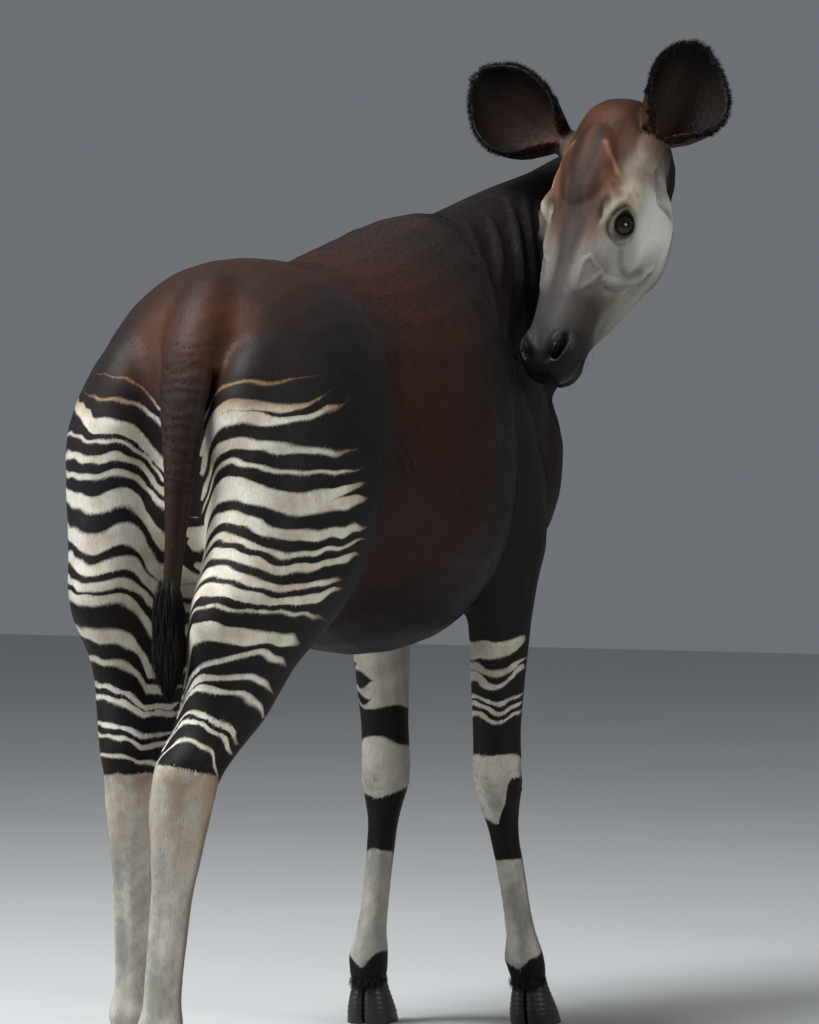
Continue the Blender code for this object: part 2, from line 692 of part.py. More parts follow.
def eye_tool(side):
    """The almond between the lids, as a prism that points out of the head."""
    centre, look = eye_frame(side)
    along = NOSE * EYE_SLANT[0] + FACE * EYE_SLANT[1]
    along = (along - look * along.dot(look)).normalized()
    across = look.cross(along)
    half_width, half_height = EYE_OPEN
    rings = []
    for reach, spread in EYE_FLARE:
        ring = []
        for step in range(EYE_CORNERS):
            turn = math.tau * step / EYE_CORNERS
            x = math.cos(turn) * half_width * spread
            z = math.copysign(abs(math.sin(turn)) ** LID_PINCH, math.sin(turn)) * half_height * spread
            ring.append(centre + along * x + across * z + look * reach)
        rings.append(ring)
    return loft("lids", rings)


def eyeball(name, side, radius):
    bm = bmesh.new()
    bmesh.ops.create_uvsphere(bm, u_segments=16, v_segments=10, radius=radius)
    centre, look = eye_frame(side)
    place = Matrix.Translation(centre) @ look.to_track_quat("Z", "Y").to_matrix().to_4x4()
    bmesh.ops.transform(bm, matrix=place, verts=bm.verts)
    return make_object(name, bm)


def finish_head(head, neck_lengths):
    """Mouth, nostrils, lids, sockets and the flat seats of the ears and the neck."""
    tools = [mouth_tube(head), nostril_tool(-1), nostril_tool(1)]
    for tool in tools:
        boolean(head, tool, "DIFFERENCE")
    thin(head, HEAD_FACES)
    for side in (-1, 1):
        for tool in (eye_tool(side), eyeball("socket", side, EYE_RADIUS + GAP)):
            boolean(head, tool, "DIFFERENCE")
            tools.append(tool)
    for side in EARS:
        root, along, _, _ = ear_frame(side)
        seat = root + along * (EAR_STALK - GAP)
        tools.append(plug(seat, along, Vector((1, 0, 0)), EAR_SEAT, EAR_SEAT, EAR_PLUG))
        boolean(head, tools[-1], "DIFFERENCE")
    centre, ahead = neck_plane(NECK_TOP)
    clearances = [swollen(length, GAP) for length in neck_lengths]
    clearances.append(slab("nape", centre + ahead * GAP * 1.2, -ahead, NAPE_SIZE, 0.05))
    for tool in clearances:
        boolean(head, tool, "DIFFERENCE")
    drop(*tools, *clearances)
    finish_node(head, "face")


def ear(side, head):
    """The cup: a curved wall that closes to a tube at its root and opens to a broad leaf."""
    root, along, facing, across = ear_frame(side)
    length = EAR_LENGTH - EAR_STALK
    lower = across if across.z < 0 else -across
    rings = []
    for share, radius, spread in fair_rows(EAR_SHAPE, EAR_ROWS):
        share = min(max(share, 0.0), 1.0)
        lean = facing * (EAR_LEAN * share ** 2 + (radius - EAR_CURVE[0]) * EAR_CURVE[1])
        sag = lower * (EAR_SAG * math.sin(math.pi * min(share, 0.98) ** 0.7))
        centre = root + along * (EAR_STALK + length * share) + lean + sag
        thick = EAR_WALL * (EAR_THIN[0] - EAR_THIN[1] * share)
        ring = []
        for shell, order in ((radius, 1), (radius - thick, -1)):
            for step in range(EAR_STEPS):
                turn = math.radians(spread) * (2 * step / (EAR_STEPS - 1) - 1) * order
                ring.append(centre - facing * (math.cos(turn) * shell) + across * (math.sin(turn) * shell))
        rings.append(ring)
    made = loft(f"ear_{side}", rings)
    skull = swollen(head, 2 * GAP)
    boolean(made, skull, "DIFFERENCE")
    drop(skull)
    finish_node(made, "ear")


# ---- Tail, hooves -----------------------------------------------------------------------------
def tail():
    """The dock below its root, and the tuft of flat tapered locks at its end."""
    made = tail_loft("tail", TAIL_CUT, len(TAIL) - 1)
    keep_largest(made)
    finish_node(made, "coat")
    tuft()


def lock(root, tip, bow):
    """A flat hair lock of four sides that bends by `bow` and tapers to its tip."""
    rings = []
    run = (tip - root).normalized()
    side = run.cross(bow).normalized()
    flat = side.cross(run)
    for share, fill in LOCK_SHAPE:
        centre = root.lerp(tip, share) + bow * (math.sin(math.pi * share) * 0.5)
        across, through = side * LOCK_SIZE[0] * fill, flat * LOCK_SIZE[1] * fill
        rings.append([centre + across, centre + through, centre - across, centre - through])
    return loft("lock", rings)


def tuft():
    """The black brush that ends the tail: flat tapered locks round a short core."""
    rows = fair_rows([centre for centre, _, _ in TAIL])
    foot = Vector(rows[-1])
    down = (foot - Vector(rows[-2])).normalized()
    top = foot + down * GAP
    side = (Vector((1, 0, 0)) - down * down.x).normalized()
    rings = []
    for share, radius in TUFT_CORE:
        centre = top.lerp(TUFT_TIP, share * TUFT_CORE_SHARE)
        depth = radius * TUFT_FLAT
        rings.append(ring_points(centre, side, down.cross(side), radius, depth, depth, 2.0, 12))
    core = loft("tail_tuft", rings)
    dice = random.Random(11)
    locks = bpy.data.collections.new("locks")
    bpy.context.scene.collection.children.link(locks)
    for index in range(TUFT_LOCKS):
        turn = math.tau * index * TUFT_TURN
        out = Vector((math.cos(turn), math.sin(turn), 0.0))
        start = 0.10 + 0.30 * (index / TUFT_LOCKS)
        root = top.lerp(TUFT_TIP, start) + out * LOCK_VARY
        tip = top.lerp(TUFT_TIP, 0.78 + 0.22 * dice.random()) + out * (LOCK_VARY * (0.6 + dice.random()))
        made = lock(root, tip, out * (LOCK_BOW + LOCK_VARY * dice.random()))
        bpy.context.scene.collection.objects.unlink(made)
        locks.objects.link(made)
    fuse = core.modifiers.new("fuse", "BOOLEAN")
    fuse.operation = "UNION"
    fuse.operand_type = "COLLECTION"
    fuse.collection = locks
    bpy.context.view_layer.update()
    apply_modifiers(core)
    drop(*locks.objects)
    bpy.data.collections.remove(locks)
    keep_largest(core)
    finish_node(core, "tuft")


def hooves(leg_name):
    """Two toes under one leg, each a half of the hoof with its own flat sole."""
    line = fair_rows(LEG_LINES[leg_name])[::-1]
    for toe, sign in (("outer", 1), ("inner", -1)):
        outward = sign if "left" in leg_name else -sign
        rings = []
        for height, front, rear, spread in HOOF:
            x = np.interp(height, line[:, 0], line[:, 1])
            y = np.interp(height, line[:, 0], line[:, 2])
            seam = Vector((x + outward * HOOF_CLEFT, y, height))
            ring = [seam + Vector((0, -front * HOOF_SEAM[0], 0)), seam + Vector((0, rear * HOOF_SEAM[1], 0))]
            for step in range(HOOF_ARC):
                turn = math.pi * (0.5 - (step + 0.5) / HOOF_ARC)
                reach = rear if turn > 0 else front
                along = math.copysign(abs(math.sin(turn)) ** HOOF_SQUARE[1], turn) * reach
                ring.append(seam + Vector((outward * spread * math.cos(turn) ** HOOF_SQUARE[0], along, 0)))
            rings.append(ring)
        made = loft(f"hoof_{leg_name}_{toe}", rings)
        keep_largest(made)
        finish_node(made, "hoof")


# ---- Parting ----------------------------------------------------------------------------------
def part_body(body):
    """Divide the whole flesh into torso, two lengths of neck and the legs, above and below."""
    centre, ahead = neck_plane(NECK_TOP)
    tool = slab("nape", centre, ahead, NAPE_SIZE, 0.06)
    boolean(body, tool, "DIFFERENCE")
    drop(tool)
    for station, name in ((NECK_MID, "neck_upper"), (1, "neck_base")):
        centre, ahead = neck_plane(station)

        def region(grow, centre=centre, ahead=ahead):
            return slab("neck_region", centre - ahead * grow, ahead, *NECK_REACH)

        part_off(body, region, name, "coat")
    centre, down, _, _ = tail_frame(TAIL_CUT)
    hanging = tail_loft("hanging", TAIL_CUT, len(TAIL) - 1)
    tools = [plug(centre - down * GAP, down, Vector((1, 0, 0)), *TAIL_SEAT), swollen(hanging, GAP)]
    for tool in tools:
        boolean(body, tool, "DIFFERENCE")
    drop(hanging, *tools)
    for name in LEG_LINES:
        sign = 1 if "left" in name else -1
        limb = FORE_CUT if name.startswith("fore") else HIND_CUT
        inner_top, slope, joint, front, rear = limb

        def below(height, grow, sign=sign, front=front, rear=rear, rise=0.0):
            """All of this leg below a height, or below a plane that climbs outward by `rise`."""
            top = height + grow
            outline = ((0.0, -0.1), (SIDE_REACH, -0.1), (SIDE_REACH, top + SIDE_REACH * rise), (0.0, top))
            return prism("below", [(x * sign, z) for x, z in outline], front - grow, rear + grow)

        tool = below(CORONET, 0.0)
        boolean(body, tool, "DIFFERENCE")
        drop(tool)
        part_off(body, lambda grow: below(joint, grow), f"{name}_shank", "stocking")
        part_off(body, lambda grow: below(inner_top, grow, rise=slope), f"{name}_leg", "coat")
    finish_node(body, "coat")


def main():
    clear_scene()
    body = body_whole()
    part_body(body)
    head = head_whole()
    finish_head(head, [bpy.data.objects[name] for name in ("neck_base", "neck_upper")])
    for side, name in ((1, "left"), (-1, "right")):
        ball = eyeball(f"eye_{name}", side, EYE_RADIUS)
        keep_largest(ball)
        finish_node(ball, "eye")
        ear(name, head)
    tail()
    for name in LEG_LINES:
        hooves(name)
    for obj in bpy.data.objects:
        obj.data.transform(Matrix.Translation(ORIGIN))


main()
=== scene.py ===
"""Dresses the life-size okapi cow: one skin with her markings, a short coat, eyes, hooves and tail tuft."""

import math

import bmesh
import bpy
import numpy as np
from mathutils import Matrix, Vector
from mathutils.bvhtree import BVHTree


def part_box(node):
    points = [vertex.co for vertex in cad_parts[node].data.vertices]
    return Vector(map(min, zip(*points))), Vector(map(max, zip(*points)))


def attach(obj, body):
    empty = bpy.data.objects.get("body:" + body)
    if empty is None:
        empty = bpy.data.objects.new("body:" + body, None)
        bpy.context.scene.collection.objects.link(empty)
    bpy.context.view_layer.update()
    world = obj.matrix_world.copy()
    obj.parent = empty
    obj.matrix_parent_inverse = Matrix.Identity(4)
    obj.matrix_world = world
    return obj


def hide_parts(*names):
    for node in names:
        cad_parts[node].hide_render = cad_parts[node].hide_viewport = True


bl_info = {
    "name": "Okapi Dressing",
    "version": (1, 0, 0),
    "blender": (4, 5, 0),
    "location": "View3D > Sidebar > Okapi",
    "description": "Skin, markings, coat, eyes, hooves and tail tuft for a life-size okapi",
    "category": "Object",
}

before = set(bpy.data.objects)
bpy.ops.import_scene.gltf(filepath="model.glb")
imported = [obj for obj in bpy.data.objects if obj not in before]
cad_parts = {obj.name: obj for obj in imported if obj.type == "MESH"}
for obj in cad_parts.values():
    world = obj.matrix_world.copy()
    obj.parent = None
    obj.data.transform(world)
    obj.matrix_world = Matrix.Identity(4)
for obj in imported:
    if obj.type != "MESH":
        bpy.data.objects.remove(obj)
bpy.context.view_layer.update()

# ---- Where the animal stands -------------------------------------------------------------------
SHIFT = np.array((0.105, -0.020, 0.0))      # from the spine's frame to the floor's frame
POLL = np.array((-0.297, -0.490, 1.665)) + SHIFT
TURN = math.radians(12.0)
DROP = math.radians(64.0)
NOSE = np.array((math.sin(TURN) * math.cos(DROP), math.cos(TURN) * math.cos(DROP), -math.sin(DROP)))
LEFT = np.array((-math.cos(TURN), math.sin(TURN), 0.0))
FACE = np.cross(NOSE, LEFT)
HEAD_AXES = np.array((NOSE, LEFT, FACE))
EYE_PLACE = (0.227, 0.0720, -0.040)
EYE_LOOK = np.array((0.06, 0.88, 0.47)) / np.linalg.norm((0.06, 0.88, 0.47))
EYE_OPEN = (0.0255, 0.0205)
EYE_RADIUS = 0.0265

LEGS = {
    "fore_left": ((1.24, 0.085, -0.320), (0.90, 0.100, -0.360), (0.80, 0.100, -0.375), (0.47, 0.090, -0.385),
                  (0.28, 0.102, -0.380), (0.115, 0.114, -0.365), (0.0, 0.118, -0.385)),
    "fore_right": ((1.24, -0.105, -0.310), (0.90, -0.150, -0.350), (0.80, -0.155, -0.345), (0.47, -0.145, -0.350),
                   (0.28, -0.150, -0.405), (0.115, -0.157, -0.455), (0.0, -0.160, -0.490)),
    "hind_left": ((1.27, 0.100, 0.430), (1.09, 0.135, 0.440), (0.90, 0.138, 0.440), (0.80, 0.140, 0.450),
                  (0.70, 0.130, 0.490), (0.62, 0.118, 0.530), (0.53, 0.106, 0.570), (0.40, 0.106, 0.582),
                  (0.26, 0.110, 0.576), (0.115, 0.112, 0.570), (0.0, 0.112, 0.545)),
    "hind_right": ((1.27, -0.100, 0.430), (1.09, -0.130, 0.445), (0.90, -0.132, 0.478), (0.80, -0.120, 0.530),
                   (0.70, -0.100, 0.600), (0.62, -0.085, 0.645), (0.53, -0.064, 0.728), (0.40, -0.057, 0.752),
                   (0.26, -0.052, 0.775), (0.115, -0.047, 0.785), (0.0, -0.045, 0.762)),
}
EAR_LENGTH = 0.235
BREAST_END = 0.05               # y in the spine's frame that parts the forelegs' half from the hindlegs'
DOCK_END = 1.185                # height where the tail parts from the croup
SWELL = 0.0006                  # added all round each solid, so that neighbours meet
NARROW = 0.03                   # a fold of the skin narrower than this holds no tufts
HEAD_CORE = (0.16, 0.0, -0.06)  # middle of the finely meshed ball, in the head's frame
TAIL_VOXEL = 0.0038
HOOF_VOXEL = 0.0026
DOCK_RING = 0.84                # how far the end of the tail's top is drawn in under the croup
REGIONS = {
    "trunk": ("torso",),
    "neck": ("neck_base", "neck_upper"),
    "head": ("head",),
    "ears": ("ear_left", "ear_right"),
    "forelegs": ("fore_left_leg", "fore_left_shank", "fore_right_leg", "fore_right_shank"),
    "hindlegs": ("hind_left_leg", "hind_left_shank", "hind_right_leg", "hind_right_shank"),
    "tail": ("tail",),
}
# How much of each region's detail is spared when the skin is thinned.
SPARED = {"trunk": 0.40, "head": 0.90, "neck": 0.65, "ears": 0.45, "tail": 0.7}
FLESH = tuple(name for names in REGIONS.values() for name in names)
EARS = {"left": (0.078, 0.077, -0.052), "right": (0.068, -0.072, -0.048)}
EAR_TIPS = {"left": (-0.052, -0.089, 0.165), "right": (0.160, 0.015, 0.120)}
EAR_CUPS = {"left": (-0.560, 0.820, 0.060), "right": (-0.200, 0.960, 0.160)}

# ---- View --------------------------------------------------------------------------------------
VIEW_TURN = 25.0                # degrees round from straight behind
VIEW_HEIGHT = 1.2
VIEW_AWAY = 9.0
FOCAL = 5175.0                  # in pixels of the frame
FRAME_TALL = 1024.0
FRAME_MIDDLE = (409.5, 512.0)   # across and down, in pixels
LEVEL_POINT = (341.0, 363.0)    # the pixel where a level line along the turn meets the frame
SENSOR = 36.0                   # mm

# ---- Stripes -----------------------------------------------------------------------------------
END_GAP = 0.03                  # room given to the first and the last stripe of a chart
NO_STRIPE = -0.5                # half thickness where no stripe shows
NO_SOCK = -0.05                 # depth where no stocking shows
STRIPE_EDGE = 9.0               # how sharply a stripe's edge is drawn
SOCK_EDGE = 240.0               # and a stocking's
# Each row is one pale stripe: its height at five angles round the thigh, half its thickness in mm
# on the crest of the buttock and in the hollow beside it, and the angle where its tip ends.
# Angles are in degrees from the rear, outward positive.
RIGHT_ANGLES = (-28.0, -20.0, -9.0, 22.0, 60.0, 110.0)
RIGHT_STRIPES = (
    (1.074, 1.114, 1.156, 1.172, 1.186, 1.200, 2.5, 2.5, 26.0),
    (1.042, 1.082, 1.124, 1.128, 1.159, 1.184, 11.5, 5.0, 44.0),
    (1.020, 1.060, 1.102, 1.108, 1.134, 1.160, 11.5, 5.5, 60.0),
    (0.980, 1.020, 1.062, 1.061, 1.054, 1.070, 9.5, 6.0, 68.0),
    (0.955, 0.995, 1.037, 1.024, 1.022, 1.036, 4.0, 3.0, 84.0),
    (0.923, 0.963, 1.005, 0.982, 0.990, 1.009, 11.0, 9.5, 94.0),
    (0.905, 0.945, 0.987, 0.967, 0.970, 0.981, 11.0, 9.5, 106.0),
    (0.866, 0.906, 0.948, 0.923, 0.924, 0.930, 11.5, 8.0, 114.0),
    (0.835, 0.875, 0.917, 0.891, 0.897, 0.909, 5.5, 3.5, 117.0),
    (0.811, 0.851, 0.893, 0.869, 0.875, 0.884, 9.5, 6.5, 118.0),
    (0.781, 0.821, 0.863, 0.841, 0.842, 0.849, 9.5, 5.0, 100.0),
    (0.751, 0.791, 0.833, 0.818, 0.819, 0.833, 12.0, 8.0, 112.0),
    (0.722, 0.762, 0.804, 0.800, 0.794, 0.780, 2.5, 2.0, 99.0),
    (0.685, 0.725, 0.767, 0.758, 0.751, 0.742, 21.0, 9.0, 88.0),
    (0.659, 0.681, 0.704, 0.731, 0.722, 0.704, 5.0, 4.5, 90.0),
    (0.644, 0.666, 0.689, 0.696, 0.683, 0.664, 4.5, 4.0, 100.0),
    (0.632, 0.654, 0.677, 0.673, 0.653, 0.629, 5.0, 4.0, 124.0),
    (0.592, 0.614, 0.637, 0.624, 0.598, 0.580, 4.0, 3.5, 80.0),
    (0.580, 0.602, 0.625, 0.611, 0.586, 0.566, 3.5, 3.0, 90.0),
    (0.550, 0.572, 0.595, 0.587, 0.556, 0.524, 3.0, 2.5, 100.0),
)
LEFT_ANGLES = (-30.0, -15.0, 0.0, 16.0, 60.0, 110.0)
LEFT_STRIPES = (
    (1.112, 1.164, 1.178, 1.185, 1.196, 1.205, 2.5, 2.5, 0.0),
    (1.096, 1.136, 1.142, 1.150, 1.172, 1.186, 3.5, 2.5, 14.0),
    (1.028, 1.088, 1.098, 1.124, 1.144, 1.160, 15.0, 8.0, 52.0),
    (1.010, 1.068, 1.072, 1.082, 1.080, 1.092, 3.0, 3.0, 44.0),
    (0.990, 1.045, 1.043, 1.048, 1.040, 1.052, 6.5, 5.0, 70.0),
    (0.970, 1.018, 1.012, 1.016, 1.014, 1.028, 5.5, 4.5, 84.0),
    (0.906, 0.979, 0.966, 0.980, 0.982, 0.994, 16.0, 11.0, 100.0),
    (0.852, 0.920, 0.904, 0.920, 0.918, 0.926, 18.0, 12.0, 112.0),
    (0.822, 0.875, 0.863, 0.881, 0.872, 0.880, 12.0, 7.0, 116.0),
    (0.796, 0.840, 0.833, 0.843, 0.838, 0.848, 7.5, 5.0, 104.0),
    (0.758, 0.811, 0.812, 0.819, 0.812, 0.804, 10.0, 6.0, 96.0),
    (0.692, 0.745, 0.752, 0.761, 0.752, 0.744, 12.5, 8.0, 90.0),
    (0.662, 0.699, 0.706, 0.714, 0.706, 0.690, 6.5, 5.0, 96.0),
    (0.634, 0.652, 0.664, 0.672, 0.662, 0.644, 4.5, 4.0, 104.0),
    (0.624, 0.639, 0.646, 0.652, 0.640, 0.620, 4.5, 4.0, 120.0),
    (0.588, 0.602, 0.606, 0.608, 0.598, 0.582, 4.0, 3.5, 90.0),
    (0.572, 0.586, 0.588, 0.590, 0.580, 0.566, 3.5, 3.0, 90.0),
    (0.545, 0.556, 0.558, 0.560, 0.550, 0.530, 3.0, 2.5, 100.0),
)
FORE_ANGLES = (-90.0, -20.0, 20.0, 60.0, 120.0)
FORE_RIGHT_STRIPES = (
    (0.684, 0.688, 0.690, 0.702, 0.716, 16.0, 13.0, 92.0),
    (0.652, 0.661, 0.646, 0.661, 0.676, 7.0, 5.0, 104.0),
    (0.630, 0.643, 0.622, 0.652, 0.664, 10.0, 4.0, 100.0),
    (0.592, 0.604, 0.589, 0.604, 0.612, 4.0, 3.5, 110.0),
    (0.580, 0.591, 0.575, 0.591, 0.598, 4.0, 3.5, 110.0),
    (0.566, 0.575, 0.558, 0.575, 0.582, 4.5, 3.5, 104.0),
)
FORE_LEFT_STRIPES = (
    (0.700, 0.700, 0.698, 0.706, 0.716, 20.0, 9.0, 64.0),
    (0.668, 0.668, 0.664, 0.672, 0.684, 17.0, 8.0, 74.0),
    (0.640, 0.640, 0.650, 0.652, 0.662, 17.0, 3.0, 60.0),
    (0.612, 0.612, 0.604, 0.616, 0.626, 17.0, 5.0, 84.0),
    (0.592, 0.592, 0.578, 0.590, 0.600, 13.0, 3.0, 90.0),
)
CHARTS = {
    "hind_right": (RIGHT_ANGLES, RIGHT_STRIPES),
    "hind_left": (LEFT_ANGLES, LEFT_STRIPES),
    "fore_right": (FORE_ANGLES, FORE_RIGHT_STRIPES),
    "fore_left": (FORE_ANGLES, FORE_LEFT_STRIPES),
}

# ---- Folds, veins and lids ---------------------------------------------------------------------
# Body relief in the spine's frame: points, half width and height of a ridge, or depth of a groove.
# On the right only: the folds of the turned neck and a crease of the flank.
RIGHT_FOLDS = (
    (((-0.098, -0.335, 1.448), (-0.125, -0.305, 1.380), (-0.168, -0.250, 1.318), (-0.205, -0.205, 1.262)),
     0.012, 0.010),
    (((-0.105, -0.400, 1.480), (-0.142, -0.365, 1.405), (-0.178, -0.325, 1.330), (-0.205, -0.290, 1.262)),
     0.011, 0.012),
    (((-0.117, -0.470, 1.500), (-0.148, -0.430, 1.430), (-0.168, -0.400, 1.350), (-0.188, -0.385, 1.275)),
     0.010, 0.012),
    (((-0.137, -0.500, 1.502), (-0.160, -0.462, 1.425), (-0.177, -0.436, 1.345), (-0.186, -0.428, 1.280)),
     0.009, 0.010),
    (((-0.152, -0.524, 1.500), (-0.173, -0.492, 1.420), (-0.190, -0.470, 1.350)), 0.008, 0.008),
    (((-0.234, 0.269, 1.071), (-0.236, 0.240, 1.030), (-0.235, 0.215, 0.990)), 0.007, 0.003),
)
# On both sides: the front edge of the haunch, the flank before it and the hollow behind the shoulder.
PAIRED_FOLDS = (
    (((0.142, 0.300, 1.322), (0.205, 0.300, 1.215), (0.236, 0.345, 1.090), (0.246, 0.400, 0.980)), 0.030, 0.006),
    (((0.150, 0.215, 1.322), (0.215, 0.215, 1.205), (0.240, 0.255, 1.080), (0.235, 0.300, 0.960)), 0.032, -0.006),
    (((0.225, -0.150, 1.230), (0.251, -0.105, 1.150), (0.257, -0.060, 1.000), (0.245, -0.015, 0.860)),
     0.045, -0.006),
)
BODY_FOLDS = RIGHT_FOLDS + tuple((tuple((side * x, y, z) for x, y, z in path), half_width, tall)
                                for path, half_width, tall in PAIRED_FOLDS for side in (-1.0, 1.0))
# Paths over the face, in the head's frame (along the nose, outward, above the brow line), on both sides.
CREST = ((0.326, 0.066, -0.046), (0.319, 0.070, -0.076), (0.304, 0.072, -0.106), (0.283, 0.075, -0.136),
         (0.252, 0.081, -0.155))
BELOW_CREST = ((0.338, 0.062, -0.060), (0.330, 0.066, -0.090), (0.312, 0.068, -0.120), (0.288, 0.072, -0.150))
CHEEK_GROOVE = ((0.408, 0.048, -0.106), (0.361, 0.056, -0.118), (0.314, 0.063, -0.144), (0.262, 0.071, -0.169))
VEIN_ARCH = ((0.308, 0.040, -0.010), (0.299, 0.049, -0.014), (0.312, 0.060, -0.030), (0.325, 0.067, -0.048))
UNDER_EYE = ((0.270, 0.075, -0.055), (0.290, 0.068, -0.072), (0.296, 0.070, -0.104), (0.272, 0.077, -0.128))
BEHIND_CHEEK = ((0.091, 0.083, -0.095), (0.135, 0.089, -0.120), (0.141, 0.086, -0.166))
NOSTRIL = ((0.456, 0.046, -0.012), (0.478, 0.037, -0.010), (0.503, 0.017, -0.012))
BESIDE_BRIDGE = ((0.240, 0.024, 0.002), (0.300, 0.018, 0.000), (0.360, 0.018, -0.002))
# Head relief: path, half width and height.
HEAD_FOLDS = (
    (CREST, 0.0080, 0.0080),
    (BELOW_CREST, 0.0075, -0.0050),
    (CHEEK_GROOVE, 0.0100, -0.0090),
    (((0.367, 0.036, -0.013), (0.335, 0.037, -0.011), *VEIN_ARCH), 0.0046, 0.0030),
    (((0.318, 0.065, -0.039), (0.345, 0.052, -0.030), (0.367, 0.038, -0.016)), 0.0050, 0.0035),
    (((0.330, 0.022, -0.006), (0.362, 0.028, -0.010), (0.395, 0.036, -0.020)), 0.0060, 0.0018),
    (UNDER_EYE, 0.0110, -0.0050),
    (BEHIND_CHEEK, 0.0120, -0.0090),
    (((0.081, 0.031, 0.016), (0.107, 0.048, 0.011), (0.140, 0.067, -0.005), (0.164, 0.091, -0.040)),
     0.0055, 0.0030),
    (((0.400, 0.052, -0.082), (0.440, 0.052, -0.085), (0.480, 0.046, -0.081), (0.512, 0.028, -0.072),
      (0.528, 0.000, -0.064)), 0.0042, -0.0040),                                                # line of the mouth
    (NOSTRIL, 0.0070, -0.0070),
    (((0.440, 0.036, 0.001), (0.466, 0.024, 0.003), (0.496, 0.006, 0.001)), 0.0070, 0.0045),    # its wing
    (((0.450, 0.058, -0.024), (0.478, 0.052, -0.024), (0.505, 0.032, -0.026)), 0.0060, 0.0035),
    (((0.060, 0.000, 0.012), (0.110, 0.000, 0.020), (0.160, 0.000, 0.018), (0.200, 0.000, 0.012)), 0.024, 0.0030),
    (((0.150, 0.050, 0.004), (0.178, 0.066, 0.002), (0.205, 0.078, -0.006)), 0.0100, 0.0030),
    (((0.195, 0.060, -0.004), (0.216, 0.060, 0.000), (0.236, 0.058, -0.004)), 0.0070, -0.0045),
    (BESIDE_BRIDGE, 0.0070, -0.0022),
    (((0.355, 0.040, -0.046), (0.390, 0.042, -0.048), (0.420, 0.046, -0.052)), 0.010, -0.0030),
)
FOLD_GAIN = 1.25                # how much deeper the head's folds are cut than their table says
# Head colours: centre and radii in the head's frame, colour (0-255), and how much of it shows.
HEAD_DABS = (
    ((0.000, 0.000, -0.050), (0.080, 0.110, 0.100), (54, 33, 23), 1.00),     # poll
    ((0.105, 0.000, 0.010), (0.150, 0.088, 0.066), (68, 37, 24), 1.00),      # rusty forehead
    ((0.195, 0.022, 0.006), (0.080, 0.050, 0.036), (72, 48, 36), 0.90),      # between the eyes
    ((0.165, 0.056, -0.004), (0.040, 0.030, 0.024), (104, 68, 46), 0.50),    # temple
    ((0.095, 0.018, 0.018), (0.070, 0.012, 0.030), (30, 22, 18), 0.75),      # dark streaks of the forehead
    ((0.170, 0.034, 0.010), (0.060, 0.012, 0.020), (38, 27, 22), 0.60),
    ((0.175, 0.004, 0.018), (0.070, 0.012, 0.030), (34, 26, 22), 0.70),
    ((0.050, 0.040, 0.006), (0.030, 0.014, 0.030), (40, 26, 20), 0.60),
    ((0.130, 0.085, -0.052), (0.052, 0.030, 0.050), (150, 138, 122), 0.90),  # behind the eye
    ((0.200, 0.085, -0.130), (0.110, 0.060, 0.085), (200, 200, 195), 1.00),  # cheek
    ((0.300, 0.055, -0.150), (0.110, 0.060, 0.055), (146, 145, 138), 0.95),  # jaw
    ((0.285, 0.065, -0.062), (0.066, 0.044, 0.048), (156, 154, 150), 0.90),  # under the eye
    ((0.345, 0.045, -0.030), (0.080, 0.038, 0.040), (106, 101, 97), 0.90),  # side of the nose
    ((0.245, 0.000, 0.004), (0.090, 0.030, 0.030), (48, 37, 31), 0.90),      # root of the nose
    ((0.345, 0.000, 0.000), (0.120, 0.018, 0.030), (56, 50, 47), 0.85),      # bridge
    ((0.415, 0.030, -0.040), (0.066, 0.080, 0.080), (50, 47, 45), 0.85),     # above the muzzle
    ((0.395, 0.045, -0.115), (0.050, 0.050, 0.040), (132, 130, 122), 0.60),  # corner of the mouth
    ((0.505, 0.000, -0.045), (0.086, 0.100, 0.100), (24, 23, 22), 1.00),     # muzzle
    ((0.480, 0.000, -0.112), (0.076, 0.060, 0.036), (24, 22, 20), 1.00),     # chin
    # painted shade: the nostril's opening, darker than the dark muzzle skin round it
    ((0.472, 0.046, -0.012), (0.024, 0.010, 0.009), (10, 9, 9), 1.00),       # nostril
    ((0.170, 0.088, -0.036), (0.036, 0.024, 0.026), (186, 176, 158), 0.75),  # cream brow
    # painted shade in the crease above the eye
    ((0.212, 0.060, 0.000), (0.030, 0.014, 0.014), (34, 28, 25), 0.85),      # crease above the eye
    # painted shade in the gutter behind the cheek
    ((0.116, 0.087, -0.104), (0.020, 0.030, 0.050), (92, 82, 72), 0.50),     # gutter behind the cheek
    ((0.052, 0.078, -0.052), (0.046, 0.036, 0.046), (72, 48, 34), 0.85),     # root of the ear
)
# Thin light and dark lines on the face: path, half width, colour. Painted highlights lie on the crest and the vein
# arch, and painted shade lies in the nostril's opening, along the grooves and beside the vein.
HEAD_LINES = (
    (((0.084, 0.034, 0.015), (0.107, 0.048, 0.011), (0.140, 0.067, -0.005), (0.166, 0.093, -0.044)),
     0.0032, (150, 108, 86)),
    # painted shade in the nostril's opening
    (NOSTRIL, 0.0080, (6, 5, 5)),
    # painted shade along the grooves of the cheek, below the crest and under the eye
    (CHEEK_GROOVE, 0.0090, (78, 74, 70)),
    (BELOW_CREST, 0.0055, (86, 82, 78)),
    (UNDER_EYE, 0.0090, (104, 100, 96)),
    # painted highlights on the crest and on the vein arch
    (CREST, 0.0045, (206, 203, 198)),
    (((0.322, 0.038, -0.011), *VEIN_ARCH), 0.0032, (128, 123, 118)),
    # painted shade beside the vein
    (((0.360, 0.045, -0.022), (0.330, 0.046, -0.018), (0.312, 0.050, -0.022), (0.324, 0.058, -0.038)),
     0.0040, (98, 94, 90)),
    # painted shade in the hollows behind the cheek and beside the bridge
    (BEHIND_CHEEK, 0.0100, (88, 80, 72)),
    (BESIDE_BRIDGE, 0.0070, (58, 50, 46)),
)
